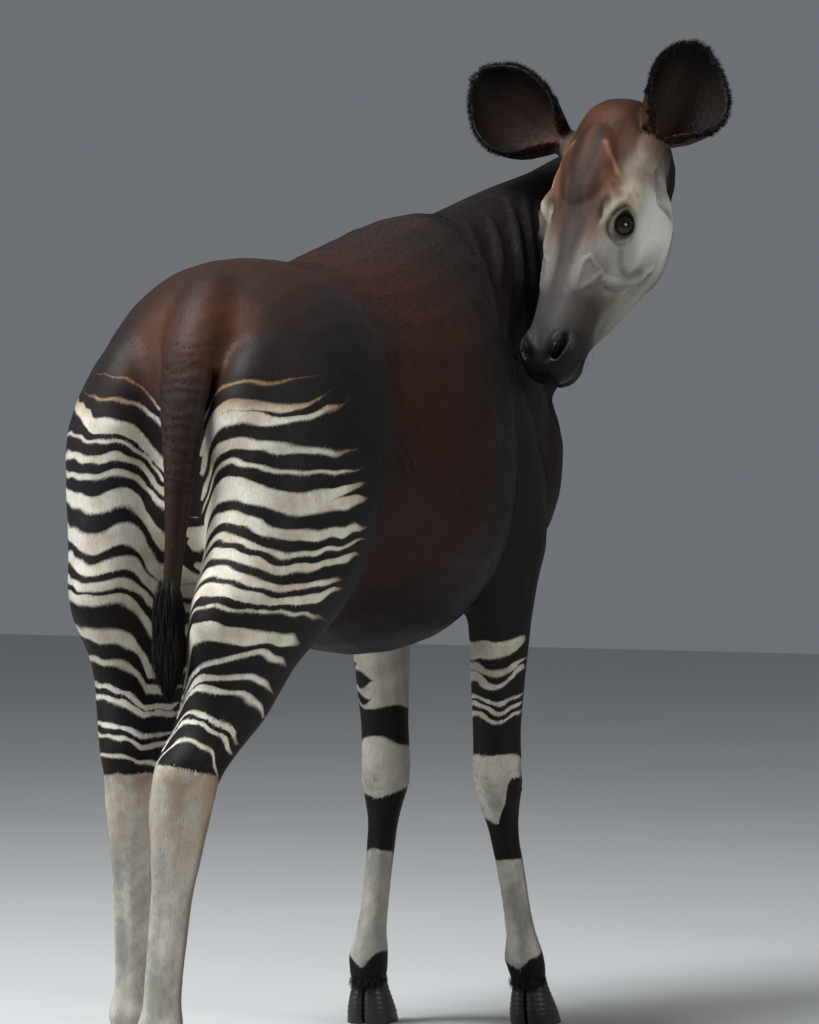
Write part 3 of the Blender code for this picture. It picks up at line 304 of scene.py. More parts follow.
# Trunk and neck colours, in the spine's frame, the same on both sides: centre, radii, colour, share.
BODY_DABS = (
    ((0.00, 0.12, 1.10), (0.40, 0.34, 0.42), (64, 36, 27), 1.00),
    ((0.00, 0.44, 1.36), (0.22, 0.34, 0.20), (52, 33, 25), 1.00),
    ((0.05, 0.60, 1.23), (0.07, 0.14, 0.10), (78, 44, 29), 0.85),
    ((0.21, 0.40, 1.20), (0.10, 0.13, 0.22), (42, 38, 40), 0.80),
    # painted sheen: a greyer patch on the top of the haunch's front edge, where the coat catches the light
    ((0.20, 0.30, 1.30), (0.09, 0.16, 0.10), (46, 38, 36), 0.55),
    ((0.24, 0.52, 1.00), (0.22, 0.26, 0.30), (33, 30, 31), 0.85),
    ((0.00, 0.08, 0.70), (0.40, 0.40, 0.15), (26, 22, 21), 0.95),
    ((0.26, -0.20, 0.98), (0.18, 0.17, 0.34), (36, 33, 34), 0.90),
    ((0.00, -0.30, 1.46), (0.10, 0.30, 0.08), (54, 38, 31), 0.60),
    ((0.00, 0.62, 0.90), (0.08, 0.14, 0.34), (34, 27, 24), 0.60),
)


def plain(colour):
    """A colour given as 0-255 steps on a screen, as the linear values that a material takes."""
    steps = np.asarray(colour, float) / 255.0
    return np.where(steps <= 0.04045, steps / 12.92, ((steps + 0.055) / 1.055) ** 2.4)


def in_head(points):
    return (points - POLL) @ HEAD_AXES.T


def from_head(places):
    return POLL + np.asarray(places, float) @ HEAD_AXES


def unit(vectors):
    return vectors / np.maximum(np.linalg.norm(vectors, axis=-1, keepdims=True), 1e-9)


def smooth_step(values, low, high):
    share = np.clip((values - low) / (high - low), 0.0, 1.0)
    return share * share * (3.0 - 2.0 * share)


def bell(values, middle, width):
    """1 at the middle, falling off smoothly on both sides."""
    return np.exp(-((values - middle) / width) ** 2)


def between(first, second, share):
    """The first colours with a share of the second laid over them."""
    share = share[:, None]
    return first * (1.0 - share) + second * share


def painted(colours, shade, share):
    """The colours with a share of a shade, given as 0-255 steps, laid over them."""
    return between(colours, plain(shade), share)


def with_alpha(colours):
    return np.concatenate((colours, np.ones((*colours.shape[:-1], 1))), axis=-1)


# ---- Settings ----------------------------------------------------------------------------------
def length_setting(name, description, default, **more):
    return bpy.props.FloatProperty(name=name, description=description, default=default, subtype="DISTANCE",
                                   unit="LENGTH", **more)


def colour_setting(name, description, steps):
    return bpy.props.FloatVectorProperty(name=name, description=description, subtype="COLOR",
                                         default=tuple(plain(steps)))


class OkapiSkinSettings(bpy.types.PropertyGroup):
    voxel: length_setting("Voxel", "Cell of the skin's remesh away from the head", 0.0108, min=0.006)
    head_gain: bpy.props.FloatProperty(name="Head gain", description="How much finer the head is remeshed",
                                       default=2.55, min=0.0)
    reach: length_setting("Head reach", "Radius of the finely remeshed ball", 0.34)
    triangles: bpy.props.IntProperty(name="Triangles", description="Triangles kept in the skin", default=196000)
    rounds: bpy.props.IntProperty(name="Smoothing", description="Rounds that soften the trunk's facets", default=44)
    head_rounds: bpy.props.IntProperty(name="Head smoothing", description="Rounds that soften the head", default=7)
    depth: length_setting("Coat depth", "How far the skin lies inside the solids", 0.0012)


class OkapiCoatSettings(bpy.types.PropertyGroup):
    length: length_setting("Tuft length", "Length of a tuft on the trunk", 0.0155)
    width: length_setting("Tuft width", "Width of a tuft on the trunk", 0.0016)
    height: length_setting("Tuft height", "How far a tip stands off the skin", 0.00042)
    fullness: bpy.props.FloatProperty(name="Fullness", description="Share of the full number of tufts",
                                      default=1.0, min=0.01, max=1.0)
    patch: bpy.props.FloatProperty(name="Patch", description="Size of a tuft's patch on the unwrap", default=0.003)


class OkapiColours(bpy.types.PropertyGroup):
    trunk: colour_setting("Trunk", "Deep brown of the barrel", (42, 34, 32))
    tail: colour_setting("Tail", "Chestnut of the tail", (50, 33, 27))
    dark: colour_setting("Dark", "Near black of neck, belly and leg bands", (32, 27, 25))
    cream: colour_setting("Cream", "Stripes and stockings", (214, 208, 195))
    rust: colour_setting("Rust", "Tips and uppermost stripes", (132, 98, 72))


# ---- Shader maths ------------------------------------------------------------------------------
class Wire:
    """A value in a material. Sums and products of wires add their Math nodes."""

    def __init__(self, sheet, socket):
        self.sheet = sheet
        self.socket = socket

    def maths(self, operation, first, second=0.0, clamp=False):
        node = self.sheet.add("ShaderNodeMath", {"operation": operation, "use_clamp": clamp}, {0: first, 1: second})
        return Wire(self.sheet, node.outputs[0])

    def __add__(self, other):
        return self.maths("ADD", self, other)

    def __radd__(self, other):
        return self.maths("ADD", other, self)

    def __sub__(self, other):
        return self.maths("SUBTRACT", self, other)

    def __rsub__(self, other):
        return self.maths("SUBTRACT", other, self)

    def __mul__(self, other):
        return self.maths("MULTIPLY", self, other)

    def __rmul__(self, other):
        return self.maths("MULTIPLY", other, self)

    def __abs__(self):
        return self.maths("ABSOLUTE", self)

    def rounded(self):
        return self.maths("ROUND", self)

    def clamped(self):
        return self.maths("ADD", self, 0.0, clamp=True)

    def most(self, other):
        return self.maths("MAXIMUM", self, other)


class Sheet:
    """A material with one Principled surface, whose nodes are all added by one method."""

    def __init__(self, name, **constants):
        self.material = bpy.data.materials.new(name)
        self.material.use_nodes = True
        self.tree = self.material.node_tree
        self.tree.nodes.clear()
        self.shader = self.add("ShaderNodeBsdfPrincipled", {}, constants)
        self.add("ShaderNodeOutputMaterial", {}, {"Surface": self.shader.outputs[0]})

    def add(self, kind, settings=None, values=None):
        node = self.tree.nodes.new(kind)
        for name, setting in (settings or {}).items():
            if name == "stops":
                self.set_stops(node.color_ramp, setting)
            else:
                setattr(node, name, setting)
        for name, value in (values or {}).items():
            self.feed(node.inputs[name], value)
        return node

    @staticmethod
    def set_stops(ramp, stops):
        while len(ramp.elements) < len(stops):
            ramp.elements.new(1.0)
        for element, (place, colour) in zip(ramp.elements, stops):
            element.position = place
            element.color = colour

    def feed(self, socket, value):
        if isinstance(value, Wire):
            value = value.socket
        if isinstance(value, bpy.types.NodeSocket):
            self.tree.links.new(value, socket)
        else:
            socket.default_value = value

    def wire(self, kind, settings=None, values=None, output=0):
        return Wire(self, self.add(kind, settings, values).outputs[output])

    def attribute(self, name, output="Fac"):
        return self.wire("ShaderNodeAttribute", {"attribute_name": name, "attribute_type": "GEOMETRY"}, {}, output)

    def noise(self, place, scale, detail=2.0, roughness=0.5):
        return self.wire("ShaderNodeTexNoise", {}, {"Vector": place, "Scale": scale, "Detail": detail,
                                                   "Roughness": roughness})

    def place(self):
        return self.wire("ShaderNodeTexCoord", {}, {}, "Object")

    def vector(self, operation, first, second):
        return self.wire("ShaderNodeVectorMath", {"operation": operation}, {0: first, 1: second})

    def scaled(self, vector, factor):
        return self.wire("ShaderNodeVectorMath", {"operation": "SCALE"}, {0: vector, "Scale": factor})

    def blend(self, first, second, share):
        """The two colours mixed by share."""
        node = self.add("ShaderNodeMix", {"data_type": "RGBA"}, {0: share})
        colours = [socket for socket in node.inputs if socket.type == "RGBA"]
        self.feed(colours[0], first)
        self.feed(colours[1], second)
        return Wire(self, next(socket for socket in node.outputs if socket.type == "RGBA"))

    def surface(self, **values):
        for name, value in values.items():
            self.feed(self.shader.inputs[name.replace("_", " ")], value)

    def bump(self, height, distance, strength):
        return self.wire("ShaderNodeBump", {}, {"Height": height, "Distance": distance, "Strength": strength})


# ---- Mesh tools --------------------------------------------------------------------------------
def corner_array(mesh):
    values = np.empty(len(mesh.vertices) * 3)
    mesh.vertices.foreach_get("co", values)
    return values.reshape(-1, 3)


def move_corners(mesh, points):
    mesh.vertices.foreach_set("co", np.ascontiguousarray(points, float).ravel())
    mesh.update()


def normal_array(mesh):
    values = np.empty(len(mesh.vertices) * 3)
    mesh.vertices.foreach_get("normal", values)
    return values.reshape(-1, 3)


def edge_array(mesh):
    values = np.empty(len(mesh.edges) * 2, np.int64)
    mesh.edges.foreach_get("vertices", values)
    return values.reshape(-1, 2)


def averaged(values, edges, count):
    """For each corner, the mean of the values at its neighbours."""
    ends = np.concatenate((edges[:, 0], edges[:, 1]))
    others = np.concatenate((edges[:, 1], edges[:, 0]))
    degree = np.maximum(np.bincount(ends, minlength=count), 1)
    total = [np.bincount(ends, weights=values[others, k], minlength=count) for k in range(values.shape[1])]
    return np.stack(total, axis=1) / degree[:, None]


def softened(values, edges, rounds, pull):
    """Values relaxed towards their neighbours, for as many rounds as each corner has left."""
    values = values.copy()
    for turn in range(int(np.max(rounds))):
        share = np.clip(rounds - turn, 0.0, 1.0)[:, None] * pull
        values += (averaged(values, edges, len(values)) - values) * share
    return values


def smoothed(points, edges, rounds):
    """The form with its facets smoothed out and its bulk kept."""
    points = points.copy()
    for turn in range(int(np.max(rounds))):
        share = np.clip(rounds - turn, 0.0, 1.0)[:, None]
        points += (averaged(points, edges, len(points)) - points) * 0.55 * share
        points -= (averaged(points, edges, len(points)) - points) * 0.57 * share
    return points


def filled(mesh, edges, share):
    """The corners with narrow hollows lifted to the evened surface around them."""
    for _ in range(3):
        points = corner_array(mesh)
        calm = smoothed(points, edges, np.full(len(points), 16.0))
        move_corners(mesh, calm)
        normals = normal_array(mesh)
        lift = np.clip(np.sum((calm - points) * normals, axis=1), 0.0, 0.020) * share
        move_corners(mesh, points + normals * lift[:, None])
    return corner_array(mesh)


def near_path(points, path):
    """Each point's distance from a run of straight pieces, and how far along it the nearest place is."""
    best = np.full(len(points), np.inf)
    along = np.zeros(len(points))
    path = np.asarray(path, float)
    for index in range(len(path) - 1):
        run = path[index + 1] - path[index]
        share = np.clip(((points - path[index]) @ run) / (run @ run), 0.0, 1.0)
        gap = np.linalg.norm(points - (path[index] + share[:, None] * run), axis=1)
        closer = gap < best
        best[closer] = gap[closer]
        along[closer] = (index + share[closer]) / (len(path) - 1)
    return best, along


def rise(points, path, half_width, height):
    """Height of a rounded ridge that follows the path and dies out at its ends."""
    gap, along = near_path(points, path)
    return height * bell(gap, 0.0, half_width) * (0.35 + 0.65 * np.sin(np.pi * np.clip(along, 0.02, 0.98)))


def write_attribute(mesh, name, kind, values, field):
    attribute = mesh.attributes.new(name, kind, "POINT")
    attribute.data.foreach_set(field, np.ascontiguousarray(values, np.float32).ravel())


def read_attribute(mesh, name, field, width):
    values = np.empty(len(mesh.vertices) * width, np.float32)
    mesh.attributes[name].data.foreach_get(field, values)
    return values.reshape(-1, width).astype(float)


def shade_smooth(mesh):
    mesh.polygons.foreach_set("use_smooth", np.ones(len(mesh.polygons), bool))


def as_mesh(name, bm):
    """The bmesh as a mesh of that name. The bmesh is freed."""
    mesh = bpy.data.meshes.new(name)
    bm.to_mesh(mesh)
    bm.free()
    return mesh


def new_object(name, mesh):
    made = bpy.data.objects.new(name, mesh)
    bpy.context.scene.collection.objects.link(made)
    return made


def finished(obj):
    """Applies the object's modifiers to its mesh."""
    bpy.context.view_layer.update()
    evaluated = obj.evaluated_get(bpy.context.evaluated_depsgraph_get())
    mesh = bpy.data.meshes.new_from_object(evaluated)
    old = obj.data
    obj.modifiers.clear()
    obj.data = mesh
    bpy.data.meshes.remove(old)


def poured(part, whole):
    """Adds one bmesh to another and frees it. Returns how many faces it had."""
    held = as_mesh("held", part)
    whole.from_mesh(held)
    count = len(held.polygons)
    bpy.data.meshes.remove(held)
    return count


def flesh_copy(names, swell, cuts=None):
    """The named solids in one bmesh, welded, a little swollen so that neighbours meet, and subdivided."""
    whole = bmesh.new()
    for name in names:
        part = bmesh.new()
        part.from_mesh(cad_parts[name].data)
        bmesh.ops.remove_doubles(part, verts=part.verts, dist=0.00001)
        part.normal_update()
        for vert in part.verts:
            vert.co += vert.normal * swell
        if cuts:
            bmesh.ops.subdivide_edges(part, edges=part.edges, cuts=cuts[name], use_grid_fill=True)
        poured(part, whole)
    return whole


def spread(points, centre, reach, gain):
    """Space around the head drawn apart, so that an even remesh is finer there."""
    offset = points - centre
    far = np.maximum(np.linalg.norm(offset, axis=1, keepdims=True), 1e-9)
    grown = np.where(far < reach, far * (1.0 + gain), far + gain * reach)
    return centre + offset * (grown / far)


def gathered(points, centre, reach, gain):
    offset = points - centre
    far = np.maximum(np.linalg.norm(offset, axis=1, keepdims=True), 1e-9)
    drawn = np.where(far < reach * (1.0 + gain), far / (1.0 + gain), far - gain * reach)
    return centre + offset * (drawn / far)


def thinned(obj, triangles, guard):
    """Collapses the mesh to a number of triangles, sparing the corners that the guard names most."""
    group = obj.vertex_groups.new(name="thin")
    for level in np.unique(guard):
        group.add(np.flatnonzero(guard == level).tolist(), float(level), "REPLACE")
    now = sum(len(face.vertices) - 2 for face in obj.data.polygons)
    fewer = obj.modifiers.new("fewer", "DECIMATE")
    fewer.ratio = min(1.0, triangles / now)
    fewer.vertex_group = group.name
    fewer.vertex_group_factor = 1.0
    finished(obj)
    obj.vertex_groups.clear()


def remeshed(name, bm, voxel):
    obj = new_object(name, as_mesh(name, bm))
    cells = obj.modifiers.new("cells", "REMESH")
    cells.mode = "VOXEL"
    cells.voxel_size = voxel
    finished(obj)
    return obj


# ---- Markings ----------------------------------------------------------------------------------
def leg_angles(points, leg):
    """Angle round the leg in degrees, from the rear with outward positive."""
    line = np.array(LEGS[leg])[::-1]
    middle_x = np.interp(points[:, 2], line[:, 0], line[:, 1])
    middle_y = np.interp(points[:, 2], line[:, 0], line[:, 2])
    side = 1.0 if leg.endswith("left") else -1.0
    out = (points[:, 0] - middle_x) * side
    back = points[:, 1] - middle_y
    return np.degrees(np.arctan2(out, back))


def curve_through(places, stations, heights):
    """Smooth curves through the rows of heights at the stations, read at the places."""
    stations = np.array(stations)
    steps = np.diff(stations)
    slopes = np.diff(heights, axis=1) / steps
    tangents = np.concatenate((slopes[:, :1], 0.5 * (slopes[:, :-1] + slopes[:, 1:]), slopes[:, -1:]), axis=1)
    places = np.clip(places, stations[0], stations[-1])
    left = np.clip(np.searchsorted(stations, places, side="right") - 1, 0, len(steps) - 1)
    run = steps[left]
    share = (places - stations[left]) / run
    first = (1.0 + 2.0 * share) * (1.0 - share) ** 2
    last = share ** 2 * (3.0 - 2.0 * share)
    out = share * (1.0 - share) ** 2 * run
    into = share ** 2 * (share - 1.0) * run
    ends = first * heights[:, left] + last * heights[:, left + 1]
    return (ends + out * tangents[:, left] + into * tangents[:, left + 1]).T


def stripe_chart(points, angles, stations, rows, inner_side):
    """For each point: which stripe it lies at, counted along the chart, half that stripe's thickness
    in the same count, and how near it is to a tip (1 at the tip, 0 well inside)."""
    rows = np.array(rows)
    width = len(stations)
    heights = rows[:, :width]
    count = len(rows)
    levels = curve_through(angles, stations, heights)
    hollow = smooth_step(angles, -12.0, 34.0)[:, None]
    halves = (rows[:, width] * (1.0 - hollow) + rows[:, width + 1] * hollow) / 1000.0
    room = rows[:, width + 2][None, :] - angles[:, None]
    taper = np.clip(room / 34.0, -0.6, 1.0)
    taper = np.where(taper > 0.0, np.sqrt(np.maximum(taper, 0.0)), taper)
    inner = inner_side * smooth_step(angles, -165.0, -115.0)
    inner = np.maximum(smooth_step(angles, -120.0, -70.0), inner)[:, None]
    halves = halves * taper * inner - 0.002 * (1.0 - inner)
    z = points[:, 2]
    above = np.sum(levels > z[:, None], axis=1)
    upper = np.clip(above - 1, 0, count - 1)
    lower = np.clip(above, 0, count - 1)
    at = np.arange(len(points))
    gap = np.maximum(levels[at, upper] - levels[at, lower], 0.006)
    ends = upper == lower
    gap = np.where(ends, END_GAP, gap)
    share = np.clip((levels[at, upper] - z) / gap, 0.0, 1.0)
    past = np.where(above == 0, z - levels[:, 0], levels[:, -1] - z) / END_GAP
    beyond = np.clip(past, 0.0, 0.49)
    place = upper + np.where(ends, np.where(above == 0, -1.0, 1.0) * beyond, share)
    turn = np.where(ends, 0.0, smooth_step(share, 0.30, 0.70))
    half = (halves[at, upper] * (1.0 - turn) + halves[at, lower] * turn) / gap
    half = np.where(ends, half - past + beyond, half)
    tip = 1.0 - smooth_step(room[at, np.where(turn > 0.5, lower, upper)], 0.0, 40.0)
    return place, np.clip(half, NO_STRIPE, 0.62), tip


def seep(points, seed, size):
    """Slow wandering values between -1 and 1, the same at every run."""
    rng = np.random.default_rng(seed)
    total = np.zeros(len(points))
    for turn in range(5):
        way = unit(rng.normal(size=3)) * (2.0 * np.pi / (size * (0.6 + 0.25 * turn)))
        total += np.sin(points @ way + rng.uniform(0, 2.0 * np.pi))
    return total / 3.2


def side_line(spine, leg):
    """The x that parts left from right: midway between the two legs of a pair."""
    left = np.array(LEGS[leg.split("_")[0] + "_left"])[::-1]
    right = np.array(LEGS[leg.split("_")[0] + "_right"])[::-1]
    z = spine[:, 2]
    middle = 0.5 * (np.interp(z, left[:, 0], left[:, 1]) + np.interp(z, right[:, 0], right[:, 1]))
    if leg.startswith("hind"):
        middle = np.where(z > 0.95, -0.03, middle)
    return middle


def leg_quarter(spine, leg):
    """True in the quarter of the body that the leg carries."""
    half = (spine[:, 1] > BREAST_END) == leg.startswith("hind")
    return half & ((spine[:, 0] > side_line(spine, leg)) == leg.endswith("left"))


def hide_colours(points, regions, colours):
    """The dark ground of trunk, neck, legs and tail."""
    x, y, z = (points - SHIFT).T
    hide = np.tile(np.array(colours.trunk), (len(points), 1))
    mirrored = np.stack((np.abs(x), y, z), axis=1) + 0.02 * seep(points, 4, 0.16)[:, None]
    for centre, radii, shade, strength in BODY_DABS:
        far = np.linalg.norm((mirrored - np.array(centre)) / np.array(radii), axis=1)
        hide = painted(hide, shade, strength * (1.0 - smooth_step(far, 0.35, 1.15)))
    deep = np.maximum(regions["neck"] * 0.9, np.maximum(regions["forelegs"], regions["hindlegs"]))
    hide = between(hide, np.array(colours.dark), deep)
    tail = regions["tail"] * (1.0 - 0.85 * smooth_step(z, 1.06, 1.18))
    hide = between(hide, np.array(colours.tail), tail)
    return hide * (0.66 + 0.12 * smooth_step(z, 0.85, 1.35))[:, None]


def pale_colours(points, colours, tip, sock):
    """Cream of the stripes and stockings, rustier at the top and at the tips, with stains, mottling and painted
    shade.
    """
    _, y, z = (points - SHIFT).T
    rear = y > BREAST_END
    socks = sock > 0.0
    orange = np.clip(np.maximum(smooth_step(z, 1.105, 1.150), 0.9 * tip ** 2), 0.0, 1.0)
    orange[~rear] = 0.6 * tip[~rear] ** 2
    pale = between(np.array(colours.cream), np.array(colours.rust), orange)
    pale = painted(pale, (150, 136, 108), 0.35 * (smooth_step(z, 0.40, 0.55) * rear) * socks)
    stain = np.clip(0.35 + 0.9 * seep(points, 45, 0.045), 0.0, 1.0)
    pale = painted(pale, (166, 146, 112), 0.45 * stain * ~socks)
    blotch = np.clip(0.5 + 0.7 * seep(points, 41, 0.050) + 0.35 * seep(points, 43, 0.018), 0.0, 1.0)
    pale = painted(pale, (146, 112, 80), 0.55 * blotch * smooth_step(z, 0.33, 0.45) * (socks & rear))
    # painted shade: the stockings greyed and darkened low down, away from the tan blotches
    painted_stocking_shade = 0.60 * (1.0 - blotch) * (1.0 - smooth_step(z, 0.40, 0.52)) * socks
    pale = painted(pale, (128, 127, 122), painted_stocking_shade)
    pale[socks & rear] *= 0.80
    # painted shade: the front half's stripes and stockings darkened as if in the shade under the body
    pale[~rear] *= 0.72
    return pale


def body_colours(points, regions, colours):
    """Hide colour, stripe colour, stripe fields and stocking depth at every point of the skin."""
    spine = points - SHIFT
    x, y, z = spine.T
    count = len(points)
    place, tip = np.zeros(count), np.zeros(count)
    half, sock = np.full(count, NO_STRIPE), np.full(count, NO_SOCK)
    bent = spine + 0.0035 * np.stack((seep(points, 7, 0.05), seep(points, 8, 0.05), seep(points, 9, 0.045)), axis=1)
    for leg, (stations, rows) in CHARTS.items():
        mine = leg_quarter(spine, leg)
        fore = leg.startswith("fore")
        if fore:
            mine &= (regions["forelegs"] > 0.2) & (z < 0.80)
        angles = leg_angles(bent[mine], leg)
        place[mine], half[mine], tip[mine] = stripe_chart(bent[mine], angles, stations, rows, float(fore))
        sock[mine] = stocking(bent[mine], angles, leg)
    half = np.where(regions["tail"] > 0.5, NO_STRIPE, half)
    front = y <= BREAST_END
    kept = smooth_step(y, 0.27, 0.33) + smooth_step(regions["hindlegs"], 0.3, 0.6) + front
    # Painted shade: no stripes in a narrow band down the cleft between the buttocks, so that the dark hide there
    # stands in for the cleft's shadow.
    cleft = smooth_step(np.abs(x - side_line(spine, "hind_left")), 0.002, 0.020)
    cleft = cleft + 1.0 - smooth_step(z, 0.80, 0.92) + front
    kept = np.minimum(np.minimum(kept, 1.0), np.minimum(cleft, 1.0))
    half = half * kept + NO_STRIPE * (1.0 - kept)
    return hide_colours(points, regions, colours), pale_colours(points, colours, tip, sock), place, half, sock


def stocking(points, angles, leg):
    """How deep a point lies inside the pale parts of the shanks, in metres, below zero outside."""
    z = points[:, 2]
    if leg.startswith("hind"):
        if leg == "hind_right":
            top = np.interp(angles, (-180, -40, 21, 60, 126, 180), (0.552, 0.560, 0.551, 0.540, 0.523, 0.552))
        else:
            top = np.interp(angles, (-180, -40, 21, 60, 126, 180), (0.535, 0.528, 0.523, 0.520, 0.512, 0.535))
        bottom = np.interp(np.abs(angles), (0, 60, 120, 180), (0.098, 0.110, 0.118, 0.120))
        return np.minimum(top - z, z - bottom)
    outer = np.abs(angles)
    if leg == "fore_right":
        knee_top = np.interp(outer, (0, 60, 120, 180), (0.500, 0.498, 0.492, 0.486))
        knee_low = np.interp(angles, (-180, -90, 10, 50, 150, 180), (0.440, 0.392, 0.376, 0.458, 0.464, 0.440))
        shin_top = np.interp(outer, (0, 60, 120, 180), (0.309, 0.306, 0.300, 0.298))
    else:
        knee_top = np.interp(outer, (0, 60, 120, 180), (0.526, 0.512, 0.500, 0.494))
        knee_low = np.interp(outer, (0, 60, 120, 180), (0.413, 0.422, 0.436, 0.446))
        shin_top = np.interp(outer, (0, 60, 120, 180), (0.319, 0.314, 0.306, 0.302))
    shin_low = np.interp(outer, (0, 40, 120, 180), (0.104, 0.128, 0.138, 0.140))
    knee = np.minimum(knee_top - z, z - knee_low)
    shin = np.minimum(shin_top - z, z - shin_low)
    return np.maximum(knee, shin)


def head_colours(points, hide):
    """Soft dabs of colour over the head, the same on both sides, with lines of painted highlight and painted shade
    on the face and round the eyes.
    """
    places = in_head(points)
    places[:, 1] = np.abs(places[:, 1])
    colour = np.tile(plain((104, 94, 84)), (len(points), 1))
    for centre, radii, shade, strength in HEAD_DABS:
        far = np.linalg.norm((places - np.array(centre)) / np.array(radii), axis=1)
        colour = painted(colour, shade, strength * (1.0 - smooth_step(far, 0.55, 1.25)))
    for path, half_width, shade in HEAD_LINES:
        gap, _ = near_path(places, path)
        colour = painted(colour, shade, 0.80 * bell(gap, 0.0, half_width))
    ring, upper, flat, front = lid_places(places, 1.0)
    for centre, width, shade, strength in (
            (1.80, 0.34, (176, 164, 144), 0.45 * upper * smooth_step(-flat, -0.9, 0.3)),
            # painted shade in the upper lid's crease
            (1.32, 0.15, (46, 37, 32), 0.80 * upper),
            # painted shade in the hollow below the lower lid
            (1.42, 0.14, (92, 86, 82), 0.55 * (1.0 - upper)),
            # the lids' own dark margins, widened and deepened to near black as painted shade round the opening
            (0.86, 0.24, (16, 13, 12), 1.0)):
        colour = painted(colour, shade, strength * bell(ring, centre, width) * front)
    throat = smooth_step(-places[:, 0] + 0.35 * (-0.05 - places[:, 2]), -0.030, 0.05)
    return between(colour, hide, throat)


def ear_places(points, side):
    """Share along the ear from root to tip, and how far a point lies on the cup's side."""
    root = from_head(EARS[side])
    way = unit(np.array(EAR_TIPS[side]))
    cup = np.array(EAR_CUPS[side])
    cup = unit(cup - way * (cup @ way))
    offset = points - root
    return offset @ way / EAR_LENGTH, offset @ cup, way, cup


# ---- Skin --------------------------------------------------------------------------------------
def region_weights(points):
    """For each region of the body, how much each point belongs to it."""
    whole = bmesh.new()
    owner = []
    for region, names in REGIONS.items():
        owner += [region] * poured(flesh_copy(names, SWELL), whole)
    tree = BVHTree.FromBMesh(whole)
    whole.free()
    found = [owner[tree.find_nearest(Vector(point))[2]] for point in points]
    return {region: np.array([name == region for name in found], float) for region in REGIONS}


def softened_regions(mesh, regions, rounds):
    """The regions' weights with their borders blended."""
    weights = np.stack([regions[name] for name in REGIONS], axis=1)
    weights = softened(weights, edge_array(mesh), np.full(len(weights), rounds), 0.6)
    return dict(zip(REGIONS, weights.T))


def coat_lie(points, normals, regions):
    """The way the hair lies at every point, along the surface."""
    ways = {
        "trunk": np.tile((0.0, 1.0, -0.42), (len(points), 1)),
        "neck": np.tile((0.28, 0.45, -0.85), (len(points), 1)),
        "forelegs": np.tile((0.0, 0.12, -1.0), (len(points), 1)),
        "hindlegs": np.tile((0.0, 0.20, -1.0), (len(points), 1)),
        "tail": np.tile((0.0, 0.12, -1.0), (len(points), 1)),
        "head": np.tile(-NOSE, (len(points), 1)),
        "ears": np.zeros((len(points), 3)),
    }
    spine = points - SHIFT
    haunch = smooth_step(spine[:, 1], 0.22, 0.50)[:, None]
    ways["trunk"] = ways["trunk"] * (1.0 - haunch) + np.array((0.0, 0.45, -1.0)) * haunch
    places = in_head(points)
    side = np.sign(places[:, 1])[:, None] * smooth_step(np.abs(places[:, 1]), 0.01, 0.07)[:, None]
    ways["head"] = ways["head"] + side * LEFT * 0.35 - FACE * 0.35 * smooth_step(-places[:, 2], 0.03, 0.14)[:, None]
    for name in EARS:
        _, _, way, _ = ear_places(points, name)
        near = (places[:, 1] > 0.0) == (name == "left")
        ways["ears"][near] = way
    total = sum(ways[name] * regions[name][:, None] for name in ways)
    total -= normals * np.sum(total * normals, axis=1, keepdims=True)
    return unit(total)


def eye_axes(side):
    """One eye in the head's frame: its middle, the way it looks, and the ways along and up its opening."""
    look = EYE_LOOK * (1.0, side, 1.0)
    along = unit(np.array((1.0, 0.0, 0.0)) - look * look[0])
    up = np.cross(look, along)
    return np.array(EYE_PLACE) * (1.0, side, 1.0), look, along, up if up[2] > 0 else -up


def lid_places(places, side):
    """Round one eye: distance in half openings, share of the upper lid, place along it and the front side."""
    centre, look, along, up = eye_axes(side)
    offset = places - centre
    flat = offset @ along / EYE_OPEN[0]
    tall = offset @ up / EYE_OPEN[1]
    return np.hypot(flat, tall), smooth_step(tall, -0.2, 0.6), flat, offset @ look > 0.0


def lid_rise(points):
    """Lids, brow and lower rim round both eyes."""
    places = in_head(points)
    total = np.zeros(len(points))
    for side in (1.0, -1.0):
        ring, upper, _, front = lid_places(places, side)
        lid = 0.0032 * bell(ring, 0.96, 0.15) * (0.55 + 0.45 * upper)
        crease = -0.0034 * bell(ring, 1.32, 0.13) * upper
        brow = 0.0012 * bell(ring, 1.75, 0.30) * upper
        pouch = -0.0026 * bell(ring, 1.40, 0.16) * (1.0 - upper)
        total += np.where(front, lid + crease + brow + pouch, 0.0)
    return total


def leg_relief(spine, regions):
    """Tendons, the bones of the hocks and the fetlocks, as heights in metres."""
    total = np.zeros(len(spine))
    z = spine[:, 2]
    for leg in LEGS:
        rear = leg.startswith("hind")
        mine = leg_quarter(spine, leg) & (regions["hindlegs" if rear else "forelegs"] > 0.5)
        turn = np.abs(leg_angles(spine, leg))
        top = 0.47 if rear else 0.40
        shaft = smooth_step(z, 0.145, 0.185) * (1.0 - smooth_step(z, top - 0.06, top))
        groove = -0.0042 * bell(turn, 52.0, 13.0) - 0.0022 * bell(turn, 112.0, 16.0)
        cord = 0.0022 * bell(turn, 26.0, 14.0)
        joint = 0.0035 * bell(z, 0.125, 0.018) * bell(turn, 30.0, 34.0)
        if rear:
            joint += 0.0060 * bell(z, 0.505, 0.028) * bell(turn, 88.0, 22.0)
            joint -= 0.0060 * bell(z, 0.560, 0.045) * bell(turn, 62.0, 20.0)
        else:
            joint += 0.0030 * bell(z, 0.440, 0.020) * bell(turn, 90.0, 30.0)
            joint += 0.0040 * bell(z, 0.470, 0.020) * bell(turn, 0.0, 30.0)
        total += np.where(mine, (groove + cord) * shaft + joint, 0.0)
    return total


